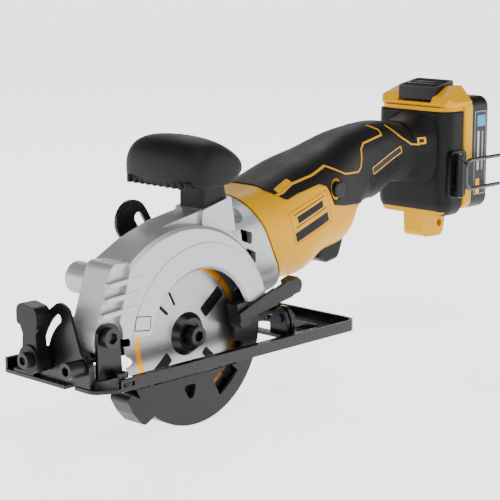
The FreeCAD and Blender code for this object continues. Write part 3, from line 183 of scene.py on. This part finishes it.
def finish(name, colour, roughness, metallic=0.0, grain=900.0, depth=0.00003, rub=0.15, edge=0.0004,
           spread=0.12, gloss=0.5):
    """A finish with rounded edges, grain, mottled colour and rubbed patches: its material and its parts."""
    material = bpy.data.materials.new(name)
    material.use_nodes = True
    tree = material.node_tree
    principled = tree.nodes["Principled BSDF"]
    principled.inputs["Metallic"].default_value = metallic
    principled.inputs["Specular IOR Level"].default_value = gloss
    place = shader_node(tree, "ShaderNodeTexCoord")
    rounded = shader_node(tree, "ShaderNodeBevel", Radius=edge, samples=BEVEL_SAMPLES)
    surface = shader_node(tree, "ShaderNodeGroup", node_tree=GRAIN)
    surface.inputs["Grain Scale"].default_value = grain
    surface.inputs["Grain Depth"].default_value = depth
    tree.links.new(place.outputs["Object"], surface.inputs["Vector"])
    tree.links.new(rounded.outputs["Normal"], surface.inputs["Normal"])
    tree.links.new(surface.outputs["Normal"], principled.inputs["Normal"])
    shade = shader_node(tree, "ShaderNodeMapRange", From_Min=0.3, From_Max=0.7, To_Min=0.0, To_Max=1.0)
    tree.links.new(surface.outputs["Mottle"], shade.inputs["Value"])
    darker = tuple(channel * (1.0 - spread) for channel in colour)
    toned = mixed(tree, shade.outputs["Result"], darker, colour)
    worn = tuple(channel * (1.0 - rub) + WORN_TONE * rub for channel in colour)
    patchy = maths(tree, "MULTIPLY", surface.outputs["Rub"], rub * 2)
    toned = mixed(tree, patchy, toned, worn)
    tree.links.new(toned, principled.inputs["Base Color"])
    rough = shader_node(tree, "ShaderNodeMapRange", From_Min=0.3, From_Max=0.7, To_Min=roughness - 0.05,
                        To_Max=roughness + 0.06)
    tree.links.new(surface.outputs["Mottle"], rough.inputs["Value"])
    tree.links.new(rough.outputs["Result"], principled.inputs["Roughness"])
    parts = {"tree": tree, "shader": principled, "place": place.outputs["Object"], "colour": toned,
             "rough": rough.outputs["Result"]}
    return material, parts


def patch_mask(parts, centre, half_length, half_height, turn=0.0, corner=0.0012, rim=False):
    """The mask of a rounded rectangle on a finish, or of its edge line."""
    node = shader_node(parts["tree"], "ShaderNodeGroup", node_tree=PATCH)
    parts["tree"].links.new(parts["place"], node.inputs["Vector"])
    node.inputs["Centre"].default_value = centre
    node.inputs["Half Length"].default_value = half_length
    node.inputs["Half Height"].default_value = half_height
    node.inputs["Turn"].default_value = turn
    node.inputs["Corner"].default_value = corner
    return node.outputs["Rim" if rim else "Mask"]


def paint(parts, mask, colour, roughness=None):
    """Lays a colour over the finish where the mask is 1."""
    tree = parts["tree"]
    parts["colour"] = mixed(tree, mask, parts["colour"], colour)
    tree.links.new(parts["colour"], parts["shader"].inputs["Base Color"])
    if roughness is not None:
        change = maths(tree, "SUBTRACT", roughness, parts["rough"])
        parts["rough"] = maths(tree, "MULTIPLY_ADD", change, mask, parts["rough"])
        tree.links.new(parts["rough"], parts["shader"].inputs["Roughness"])


def emboss(parts, height, depth):
    """Raises or sinks the surface by a mask or pattern, on top of what bends the light already."""
    tree = parts["tree"]
    bump = shader_node(tree, "ShaderNodeBump", Strength=1.0, Distance=depth)
    before = parts["shader"].inputs["Normal"].links[0].from_socket
    tree.links.new(before, bump.inputs["Normal"])
    tree.links.new(height, bump.inputs["Height"])
    tree.links.new(bump.outputs["Normal"], parts["shader"].inputs["Normal"])


def blade_radius(parts):
    """The distance from the blade's axis, as a socket."""
    tree = parts["tree"]
    axes = shader_node(tree, "ShaderNodeSeparateXYZ")
    tree.links.new(parts["place"], axes.inputs["Vector"])
    lifted = maths(tree, "SUBTRACT", axes.outputs["Z"], SOLE_DROP)
    squared = maths(tree, "ADD", maths(tree, "MULTIPLY", axes.outputs["X"], axes.outputs["X"]),
                    maths(tree, "MULTIPLY", lifted, lifted))
    return maths(tree, "SQRT", squared)

# ---- finishes ----
NYLON = (0.0022, 0.0023, 0.0026)
cast, cast_parts = finish("cast aluminium", (0.42, 0.43, 0.445), 0.38, 0.6, grain=1300.0, depth=0.00004,
                          rub=0.06, edge=0.0008, spread=0.06)
yellow, yellow_parts = finish("yellow housing", YELLOW, 0.36, grain=1500.0, rub=0.0, spread=0.06, gloss=0.10)
rubber, rubber_parts = finish("grip rubber", (0.0032, 0.0033, 0.0037), 0.55, grain=2200.0, depth=0.00006,
                              rub=0.004, edge=0.0006, gloss=0.20)
black, _ = finish("black nylon", NYLON, 0.38, grain=1500.0, depth=0.00004, rub=0.004, gloss=0.22)
pack_nylon, pack_parts = finish("battery nylon", NYLON, 0.38, grain=1500.0, depth=0.00004, rub=0.004,
                                gloss=0.22)
grey, _ = finish("guard nylon", (0.0058, 0.0061, 0.0070), 0.38, grain=1500.0, depth=0.00004, rub=0.01,
                 gloss=0.26)
enamel, _ = finish("black enamel steel", (0.0024, 0.0025, 0.0028), 0.27, grain=700.0, depth=0.00002, rub=0.004,
                   gloss=0.34)
oxide, _ = finish("black oxide screw", (0.035, 0.035, 0.037), 0.33, 0.8, grain=2600.0, depth=0.00001, rub=0.05,
                  edge=0.0003)
disc, disc_parts = finish("blade disc", (0.40, 0.40, 0.41), 0.30, 0.95, grain=1600.0, depth=0.00001, rub=0.05,
                          edge=0.0001)
ground, _ = finish("ground steel", (0.36, 0.36, 0.37), 0.28, 0.95, grain=2000.0, depth=0.00001, rub=0.1,
                   edge=0.0003)
winding, _ = finish("enamelled copper", (0.62, 0.22, 0.07), 0.32, 0.9, depth=0.00005)
foil, _ = finish("pouch foil", (0.45, 0.46, 0.48), 0.36, 0.85, grain=400.0, depth=0.00005)
board, _ = finish("circuit resin", (0.01, 0.09, 0.04), 0.35)
hook_steel, _ = finish("dark hook steel", (0.06, 0.06, 0.064), 0.25, 0.85, grain=2600.0, depth=0.00001,
                       edge=0.0002)

RING_MID = 45.6 * MM
RING_HALF = 2.1 * MM
RING_AMBER = (0.90, 0.33, 0.002)
BRUSHED = (0.13, 0.13, 0.135)
PRINT_ROUGH = 0.4
# direction in degrees, distance, half length and half height of the printed bars on the blade
DISC_BARS = ((38.0, 0.0300, 0.0110, 0.0045), (218.0, 0.0310, 0.0100, 0.0042), (-42.0, 0.0300, 0.0090, 0.0030),
             (138.0, 0.0320, 0.0080, 0.0012), (118.0, 0.0300, 0.0060, 0.0010))


def brushed_disc():
    """Circular brushing, an amber ring and dark printed bars on the blade."""
    tree = disc_parts["tree"]
    radius = blade_radius(disc_parts)
    rings = shader_node(tree, "ShaderNodeTexNoise", noise_dimensions="1D", Scale=5200.0, Detail=3.0)
    tree.links.new(radius, rings.inputs["W"])
    brushing = shader_node(tree, "ShaderNodeMapRange", From_Min=0.3, From_Max=0.7, To_Min=0.0, To_Max=0.35)
    tree.links.new(rings.outputs["Fac"], brushing.inputs["Value"])
    paint(disc_parts, brushing.outputs["Result"], BRUSHED)
    from_ring = maths(tree, "ABSOLUTE", maths(tree, "SUBTRACT", radius, RING_MID))
    paint(disc_parts, maths(tree, "LESS_THAN", from_ring, RING_HALF), RING_AMBER, PRINT_ROUGH)
    for degrees, reach, half_length, half_height in DISC_BARS:
        angle = math.radians(degrees)
        centre = (reach * math.cos(angle), 0.0, reach * math.sin(angle) + SOLE_DROP)
        mask = patch_mask(disc_parts, centre, half_length, half_height, angle, 0.0016)
        paint(disc_parts, mask, INK, PRINT_ROUGH)


# centre, half length and half height of the panel, plates and lines on the motor housing
PANEL_TURN = math.radians(17.0)
PANEL_FRAME = ((0.1265, 0.0, 0.0825), 0.0225, 0.0125)
FRAME_BROWN = (0.36, 0.14, 0.0)
PANEL_MARKS = (((0.1275, 0.0, 0.0755), 0.0195, 0.0035), ((0.1265, 0.0, 0.0825), 0.0185, 0.0004),
               ((0.1245, 0.0, 0.0915), 0.0185, 0.0004), ((0.1253, 0.0, 0.0868), 0.0150, 0.0026))
PANEL_ROUGH = 0.42


def housing_labels():
    """A framed panel on each side of the motor housing, with dark plates and fine lines."""
    rim = patch_mask(yellow_parts, *PANEL_FRAME, PANEL_TURN, 0.002, True)
    paint(yellow_parts, rim, FRAME_BROWN, PANEL_ROUGH)
    for centre, half_length, half_height in PANEL_MARKS:
        mask = patch_mask(yellow_parts, centre, half_length, half_height, PANEL_TURN, 0.0004)
        paint(yellow_parts, mask, INK, PANEL_ROUGH)


GUARD_FACE = -13.0 * MM
GUARD_STEP_R = 64.0 * MM
GUARD_STEP_WIDTH = 1.2 * MM
GUARD_STEP_RISE = 0.9 * MM
# centre, half length and half height of the embossed plate on the guard, whose edge gets a line of painted
# shade
GUARD_PLATE_SHADE_LINE = ((-0.0545, 0.0, 0.0375), 0.0070, 0.0050)


def guard_details():
    """A shallow step round the near face of the guard, and a near-black line of painted shade round the edge of
    a plain embossed plate.
    """
    tree = cast_parts["tree"]
    radius = blade_radius(cast_parts)
    axes = shader_node(tree, "ShaderNodeSeparateXYZ")
    tree.links.new(cast_parts["place"], axes.inputs["Vector"])
    near = maths(tree, "LESS_THAN", axes.outputs["Y"], GUARD_FACE)
    step = shader_node(tree, "ShaderNodeMapRange", From_Min=GUARD_STEP_R,
                       From_Max=GUARD_STEP_R + GUARD_STEP_WIDTH)
    tree.links.new(radius, step.inputs["Value"])
    emboss(cast_parts, maths(tree, "MULTIPLY", step.outputs["Result"], near), GUARD_STEP_RISE)
    # painted shade: a near-black line along the embossed plate's edge stands in for the shade of its step
    rim = patch_mask(cast_parts, *GUARD_PLATE_SHADE_LINE, math.radians(-8), 0.0012, True)
    paint(cast_parts, maths(tree, "MULTIPLY", rim, near), (0.03, 0.03, 0.03), 0.5)


GRIP_SLANT = math.radians(20.0)
RIB_DEPTH = 0.7 * MM
# centre, half length, half height and turn of the framed strips on the grip
GRIP_STRIPS = (((0.2315, 0.0, 0.1125), 0.0200, 0.0030, GRIP_SLANT),
               ((0.0985, 0.0, 0.1165), 0.0110, 0.0030, -0.16))
STRIP_FRAME = 0.0010
SLIT_DEPTH = -1.2 * MM
SLITS = 4
EYELET = (0.2745, 0.0, 0.1235)


def grip_details():
    """Finger ribs, framed strips, sunk air slits painted near-black as shade, and a small frame round a hole
    painted dark as shade, on the rubber of the grip.
    """
    tree = rubber_parts["tree"]
    ribs = shader_node(tree, "ShaderNodeTexWave", wave_type="BANDS", bands_direction="X", Scale=120.0)
    turned = shader_node(tree, "ShaderNodeMapping")
    turned.inputs["Rotation"].default_value = (0.0, GRIP_SLANT, 0.0)
    tree.links.new(rubber_parts["place"], turned.inputs["Vector"])
    tree.links.new(turned.outputs["Vector"], ribs.inputs["Vector"])
    zone = patch_mask(rubber_parts, (0.2290, 0.0, 0.1015), 0.0215, 0.0062, GRIP_SLANT, 0.003)
    emboss(rubber_parts, maths(tree, "MULTIPLY", ribs.outputs["Fac"], zone), RIB_DEPTH)
    for centre, half_length, half_height, turn in GRIP_STRIPS:
        rim = patch_mask(rubber_parts, centre, half_length, half_height, turn, rim=True)
        paint(rubber_parts, rim, YELLOW, 0.4)
        plate = patch_mask(rubber_parts, centre, half_length - STRIP_FRAME, half_height - STRIP_FRAME, turn,
                           0.0006)
        paint(rubber_parts, plate, (0.004, 0.004, 0.0045), 0.3)
    flash = patch_mask(rubber_parts, (0.1085, 0.0, 0.1060), 0.0085, 0.0019, 0.36, 0.0008)
    paint(rubber_parts, flash, YELLOW, 0.4)
    for step in range(SLITS):
        centre = (0.2525 + 0.0035 * step, 0.0, 0.1310 - 0.0009 * step)
        slit = patch_mask(rubber_parts, centre, 0.0008, 0.0034, math.radians(25.0), 0.0007)
        # painted shade: each slit is coloured near-black for the shade inside it, besides being sunk by the
        # bump below
        paint(rubber_parts, slit, (0.0008, 0.0008, 0.0008), 0.8)
        emboss(rubber_parts, slit, SLIT_DEPTH)
    slot = patch_mask(rubber_parts, EYELET, 0.0048, 0.0028, corner=0.0010)
    paint(rubber_parts, slot, YELLOW, 0.4)
    # painted shade: the hole in the small frame is coloured dark brown for the shade inside it
    hole_shade_mask = patch_mask(rubber_parts, EYELET, 0.0026, 0.0014, corner=0.0006)
    paint(rubber_parts, hole_shade_mask, (0.01, 0.004, 0.002), 0.5)


# centre, half length, half height and colour of the panel, block and bars on the battery
BATTERY_MARKS = (((0.3315, 0.0, 0.1100), 0.0078, 0.0340, (0.20, 0.20, 0.21)),
                 ((0.3315, 0.0, 0.1100), 0.0070, 0.0332, (0.012, 0.012, 0.014)),
                 ((0.3325, 0.0, 0.1360), 0.0052, 0.0045, (0.03, 0.30, 0.50)),
                 ((0.3290, 0.0, 0.1120), 0.0014, 0.0160, (0.42, 0.42, 0.43)),
                 ((0.3345, 0.0, 0.1120), 0.0008, 0.0160, (0.30, 0.30, 0.31)),
                 ((0.3290, 0.0, 0.0830), 0.0026, 0.0060, (0.92, 0.42, 0.002)))


def battery_labels():
    """A tall grey-edged panel on each side of the battery, with a blue block and pale bars."""
    for centre, half_length, half_height, colour in BATTERY_MARKS:
        paint(pack_parts, patch_mask(pack_parts, centre, half_length, half_height), colour, 0.3)


brushed_disc()
housing_labels()
guard_details()
grip_details()
battery_labels()

SLOT_FINISH = {
    "cast_aluminium": cast, "yellow_plastic": yellow, "dark_rubber": rubber, "black_plastic": black,
    "guard_plastic": grey, "black_steel": enamel, "fastener_steel": oxide, "blade_steel": disc,
    "tool_steel": ground, "copper": winding, "pouch_foil": foil, "circuit": board,
}


def finish_nodes():
    """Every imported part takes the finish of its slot; the battery case and hook wire have their own."""
    for name, node in NODES.items():
        for slot in node.material_slots:
            for key, material in SLOT_FINISH.items():
                if slot.material and slot.material.name.split(".")[0] == key:
                    slot.material = material
                    break
            else:
                print("no finish for", name, slot.material and slot.material.name)
    NODES["battery_case"].material_slots[0].material = pack_nylon
    NODES["hook_wire"].material_slots[0].material = hook_steel


finish_nodes()

# ---- pieces made here ----


def new_piece(name, mesh, material, body, replaced=(), smooth=math.radians(40.0)):
    """The finished object: mesh in place, shaded smooth but for its sharp edges, riding on a body."""
    bmesh.ops.remove_doubles(mesh, verts=mesh.verts, dist=1e-6)
    bmesh.ops.recalc_face_normals(mesh, faces=mesh.faces)
    for face in mesh.faces:
        face.smooth = True
    for edge in mesh.edges:
        edge.smooth = len(edge.link_faces) == 2 and edge.calc_face_angle() < smooth
    piece = placed(name, mesh, material)
    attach(piece, body)
    if replaced:
        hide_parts(*replaced)
    return piece


def placed(name, mesh, material):
    """An object of that mesh and material, at the origin."""
    data = bpy.data.meshes.new(name)
    mesh.to_mesh(data)
    mesh.free()
    data.materials.append(material)
    thing = bpy.data.objects.new(name, data)
    bpy.context.scene.collection.objects.link(thing)
    return thing


def box_mesh(low, high):
    """A box between two corners."""
    mesh = bmesh.new()
    bmesh.ops.create_cube(mesh, size=1.0)
    low = Vector(low)
    high = Vector(high)
    bmesh.ops.scale(mesh, vec=high - low, verts=mesh.verts)
    bmesh.ops.translate(mesh, vec=(low + high) / 2, verts=mesh.verts)
    return mesh


def round_edges(mesh, edges, width, segments=4):
    """Rounds the edges named."""
    bmesh.ops.bevel(mesh, geom=edges, offset=width, segments=segments, profile=0.5, affect="EDGES", material=-1,
                    clamp_overlap=True)


def edges_along(mesh, axis):
    """The edges that run along an axis."""
    return [edge for edge in mesh.edges
            if abs((edge.verts[1].co - edge.verts[0].co).normalized()[axis]) > 0.999]


def add_mesh(mesh, other):
    """Puts another mesh's geometry into this one."""
    copy = bpy.data.meshes.new("addition")
    other.to_mesh(copy)
    other.free()
    mesh.from_mesh(copy)
    bpy.data.meshes.remove(copy)


def extruded(mesh, faces, move):
    """Carries faces along by a vector, with walls behind them; gives their new vertices and faces."""
    grown = bmesh.ops.extrude_face_region(mesh, geom=faces)["geom"]
    bmesh.ops.delete(mesh, geom=faces, context="FACES_ONLY")
    verts = [item for item in grown if isinstance(item, bmesh.types.BMVert)]
    bmesh.ops.translate(mesh, vec=move, verts=verts)
    return verts, [item for item in grown if isinstance(item, bmesh.types.BMFace)]


BUMPER_BELLY = 12.0 * MM
BUMPER_CORNER = 10.5 * MM
BUMPER_LEDGE = 1.5 * MM
TOUCH = 0.1 * MM


def foot_bumper():
    """The soft bumper round the foot: upright corners, soft lower edge, shallow ledge at the top."""
    low, high = (Vector(corner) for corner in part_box("foot_overmold"))
    mesh = box_mesh(low, high)
    lower = [edge for edge in edges_along(mesh, 0) if edge.verts[0].co.z < low.z + MM]
    round_edges(mesh, lower, BUMPER_BELLY, 8)
    front = [edge for edge in mesh.edges if max(v.co.x for v in edge.verts) < low.x + TOUCH and
             min(v.co.z for v in edge.verts) < high.z - TOUCH]
    round_edges(mesh, front, BUMPER_CORNER, 7)
    ledge = [edge for edge in mesh.edges if min(v.co.z for v in edge.verts) > high.z - TOUCH and
             min(v.co.x for v in edge.verts) < high.x - TOUCH]
    round_edges(mesh, ledge, BUMPER_LEDGE, 3)
    new_piece("foot_bumper", mesh, rubber, "saw_body", ("foot_overmold",))


GRIP_FLARE_X = (0.2660, 0.2885)
GRIP_MID_Y = 0.036
GRIP_MID_Z = 0.1147
GRIP_HALF = (0.0214, 0.0238)
GRIP_CORNER = 17.0 * MM
FLARE_CUTS = (0.2, 0.4, 0.55, 0.68, 0.78, 0.86, 0.93)
FLARE_GROWTH = 0.26
FLARE_POWER = 2.6


def grip_flare():
    """The rubber skirt where the grip widens into the foot."""
    start, stop = GRIP_FLARE_X
    middle = Vector(((start + stop) / 2, GRIP_MID_Y, GRIP_MID_Z))
    half = Vector(((stop - start) / 2, *GRIP_HALF))
    mesh = box_mesh(middle - half, middle + half)
    round_edges(mesh, edges_along(mesh, 0), GRIP_CORNER, 8)
    for share in FLARE_CUTS:
        at = Vector((start + (stop - start) * share, 0, 0))
        bmesh.ops.bisect_plane(mesh, geom=mesh.verts[:] + mesh.edges[:] + mesh.faces[:], dist=1e-7,
                               plane_co=at, plane_no=(1, 0, 0))
    for vert in mesh.verts:
        share = (vert.co.x - start) / (stop - start)
        grow = 1.0 + FLARE_GROWTH * share ** FLARE_POWER
        vert.co.y = GRIP_MID_Y + (vert.co.y - GRIP_MID_Y) * grow
        vert.co.z = GRIP_MID_Z + (vert.co.z - GRIP_MID_Z) * grow
    new_piece("grip_flare", mesh, rubber, "saw_body")


BEZEL_FRONT = 2.0 * MM         # how far the frame reaches past the latch
BEZEL_REAR = 4.4 * MM
BEZEL_SIDE = 2.6 * MM
BEZEL_RISE = 1.8 * MM
BEZEL_BELOW = 1.5 * MM
BEZEL_DROP = 4.5 * MM          # slope of its top towards the front
WELL_DEPTH = 3.4 * MM
POCKET_DEPTH = 8.0 * MM


def latch_bezel():
    """The black frame on top of the battery, with a sunk well and a pocket that the button drops into."""
    low, high = (Vector(corner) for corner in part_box("battery_latch"))
    mesh = box_mesh((low.x - BEZEL_FRONT, low.y - BEZEL_SIDE, low.z - BEZEL_BELOW),
                    (high.x + BEZEL_REAR, high.y + BEZEL_SIDE, high.z + BEZEL_RISE))
    for vert in mesh.verts:
        if vert.co.x < low.x and vert.co.z > low.z:
            vert.co.z -= BEZEL_DROP
    round_edges(mesh, edges_along(mesh, 2), 3.5 * MM, 5)
    top = [face for face in mesh.faces if face.normal.z > 0.8]
    frame_faces = bmesh.ops.inset_region(mesh, faces=top, thickness=2.4 * MM, use_even_offset=True)["faces"]
    inner = [face for face in top if face.is_valid and face not in frame_faces]
    moved = {vert for face in inner for vert in face.verts}
    well_floor = extruded(mesh, inner, (0, 0, -WELL_DEPTH))[1]
    bmesh.ops.inset_region(mesh, faces=well_floor, thickness=1.4 * MM, use_even_offset=True)
    extruded(mesh, well_floor, (0, 0, -POCKET_DEPTH))
    mouth = [edge for edge in mesh.edges if edge.is_valid and edge.verts[0] in moved and edge.verts[1] in moved]
    round_edges(mesh, mouth, 0.5 * MM, 2)
    new_piece("latch_bezel", mesh, black, "battery")


BUTTON_RIBS = 3
RIB_PITCH = 4.0 * MM


def latch_button():
    """The release button in the bezel's well, with three ribs across it."""
    low, high = (Vector(corner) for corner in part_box("battery_latch"))
    button = box_mesh((low.x + 2.3 * MM, low.y + 1.8 * MM, high.z - 6.0 * MM),
                      (high.x, high.y - 1.8 * MM, high.z - 0.2 * MM))
    round_edges(button, button.edges[:], 1.2 * MM, 3)
    for step in range(BUTTON_RIBS):
        rib_x = low.x + 6.0 * MM + RIB_PITCH * step
        rib = box_mesh((rib_x, low.y + 5.0 * MM, high.z - 0.6 * MM),
                       (rib_x + 1.4 * MM, high.y - 5.0 * MM, high.z + 0.7 * MM))
        round_edges(rib, rib.edges[:], 0.4 * MM, 2)
        add_mesh(button, rib)
    new_piece("latch_button", button, black, "battery_release", ("battery_latch",))


# outline of the knob seen from the side, in mm from the blade's axis, and its stations across: place and size
KNOB_OUTLINE = ((-10.0, 101.4), (-13.5, 101.6), (-15.0, 104.0), (-16.0, 113.0), (-15.0, 124.0), (-8.0, 133.0),
                (4.0, 136.0), (20.0, 133.5), (34.0, 126.0), (42.0, 119.5), (42.0, 113.0), (38.0, 110.0),
                (29.0, 103.4), (17.0, 101.4))
KNOB_STATIONS = ((-24.5, 0.30), (-23.8, 0.55), (-20.5, 0.78), (-10.0, 0.94), (14.0, 1.0), (38.0, 0.95),
                 (48.5, 0.80), (51.8, 0.58), (52.5, 0.30))
# the space whose origin the stations shrink towards
KNOB_SPACE = Matrix.Translation((-10 * MM, 0, -(104 * MM + SOLE_DROP)))
SUBDIVISIONS = 3
SCALLOPS = 10
SCALLOP_PITCH = 6.2
STEM_FOOT = 84.4 * MM
STEM_TOP = 104.0 * MM
STEM_SLOPE = 6.4 / 27.0        # rise of the casting under the stem


def front_knob():
    """The palm grip: blunt and tall in front, sloping to the rear, its crown lower towards both ends."""
    mesh = bmesh.new()
    last_y, last_size = KNOB_STATIONS[0]
    ring = [mesh.verts.new((x * MM, last_y * MM, z * MM + SOLE_DROP)) for x, z in KNOB_OUTLINE]
    faces = [mesh.faces.new(ring)]
    bmesh.ops.scale(mesh, vec=(last_size, 1.0, last_size), space=KNOB_SPACE, verts=ring)
    for next_y, next_size in KNOB_STATIONS[1:]:
        verts, faces = extruded(mesh, faces, (0, (next_y - last_y) * MM, 0))
        ratio = next_size / last_size
        bmesh.ops.scale(mesh, vec=(ratio, 1.0, ratio), space=KNOB_SPACE, verts=verts)
        last_y, last_size = next_y, next_size
    bmesh.ops.holes_fill(mesh, edges=mesh.edges, sides=0)
    knob = new_piece("front_knob", mesh, rubber, "saw_body", ("front_handle_grip",), smooth=math.pi)
    soft = knob.modifiers.new("soft", "SUBSURF")
    soft.levels = SUBDIVISIONS
    soft.render_levels = SUBDIVISIONS


def knob_teeth():
    """The row of teeth under the knob's front edge."""
    teeth = bmesh.new()
    for item in range(SCALLOPS):
        tooth = box_mesh((-14.2 * MM, (-16.4 + SCALLOP_PITCH * item) * MM, SOLE_DROP + 101.0 * MM),
                         (-4.0 * MM, (-12.6 + SCALLOP_PITCH * item) * MM, SOLE_DROP + 106.4 * MM))
        round_edges(tooth, tooth.edges[:], 1.2 * MM, 4)
        add_mesh(teeth, tooth)
    new_piece("knob_teeth", teeth, rubber, "saw_body")


def knob_stem():
    """The rubber-covered stem between the casting and the knob, its foot cut to the casting's slope."""
    stem = box_mesh((11.8 * MM, -4.2 * MM, SOLE_DROP + STEM_FOOT), (34.6 * MM, 19.4 * MM, SOLE_DROP + STEM_TOP))
    for vert in stem.verts:
        if vert.co.z < SOLE_DROP + 90 * MM:
            vert.co.z += (vert.co.x - 10.5 * MM) * STEM_SLOPE
    round_edges(stem, edges_along(stem, 2), 3 * MM, 5)
    new_piece("knob_stem", stem, rubber, "saw_body")


foot_bumper()
grip_flare()
latch_bezel()
latch_button()
front_knob()
knob_teeth()
knob_stem()

# ---- studio ----
CAMERA_AT = Vector((-0.7538, -0.7778, 0.2887))
CAMERA_AIM = Vector((0.7104, 0.6769, -0.1926))
CAMERA_LENS = 118.0
FLOOR_Z = CAD_BOX[0][2]
FLOOR_SIZE = 30.0
FLOOR_GLOW = 2.2
SKY = 0.20
WALL_RADIUS = 29.0
WALL_HEIGHT = 5.0
# name, place from the middle of the floor, size and power of each lamp
LAMPS = (("key lamp", (-0.35, -0.75, 1.5), 0.9, 11.0), ("side lamp", (-1.5, -0.1, 0.8), 0.7, 6.0),
         ("back lamp", (0.9, 1.0, 1.2), 0.8, 8.0), ("right lamp", (1.2, -0.9, 0.7), 0.6, 2.5))


def studio():
    """A pale floor and backdrop, four soft lamps and an even sky."""
    low, high = CAD_BOX
    centre = Vector(((low[0] + high[0]) / 2, (low[1] + high[1]) / 2, 0.0))
    paper = bpy.data.materials.new("paper sweep")
    paper.use_nodes = True
    shader = paper.node_tree.nodes["Principled BSDF"]
    shader.inputs["Base Color"].default_value = (0.95, 0.95, 0.95, 1)
    shader.inputs["Roughness"].default_value = 0.6
    shader.inputs["Emission Color"].default_value = (1, 1, 1, 1)
    shader.inputs["Emission Strength"].default_value = FLOOR_GLOW
    mesh = bmesh.new()
    bmesh.ops.create_grid(mesh, x_segments=1, y_segments=1, size=FLOOR_SIZE)
    bmesh.ops.translate(mesh, verts=mesh.verts, vec=centre + Vector((0, 0, FLOOR_Z)))
    placed("floor", mesh, paper)
    wall = bmesh.new()
    bmesh.ops.create_cone(wall, cap_ends=False, segments=64, radius1=WALL_RADIUS, radius2=WALL_RADIUS,
                          depth=WALL_HEIGHT)
    bmesh.ops.translate(wall, verts=wall.verts, vec=centre + Vector((0, 0, FLOOR_Z + WALL_HEIGHT / 2)))
    placed("backdrop", wall, paper)
    aim = centre + Vector((0, 0, 0.08))
    for name, offset, size, power in LAMPS:
        lamp = bpy.data.lights.new(name, "AREA")
        lamp.size = size
        lamp.energy = power
        thing = bpy.data.objects.new(name, lamp)
        thing.location = centre + Vector(offset)
        thing.rotation_euler = (aim - thing.location).to_track_quat("-Z", "Y").to_euler()
        bpy.context.scene.collection.objects.link(thing)
    world = bpy.data.worlds.new("sky")
    world.use_nodes = True
    world.node_tree.nodes["Background"].inputs["Color"].default_value = (1, 1, 1, 1)
    world.node_tree.nodes["Background"].inputs["Strength"].default_value = SKY
    bpy.context.scene.world = world


def camera():
    """The camera, low in front of the blade side."""
    lens = bpy.data.cameras.new("camera")
    lens.lens = CAMERA_LENS
    lens.sensor_width = 36.0
    thing = bpy.data.objects.new("camera", lens)
    thing.location = CAMERA_AT
    thing.rotation_euler = CAMERA_AIM.to_track_quat("-Z", "Y").to_euler()
    bpy.context.scene.collection.objects.link(thing)
    bpy.context.scene.camera = thing


studio()
camera()
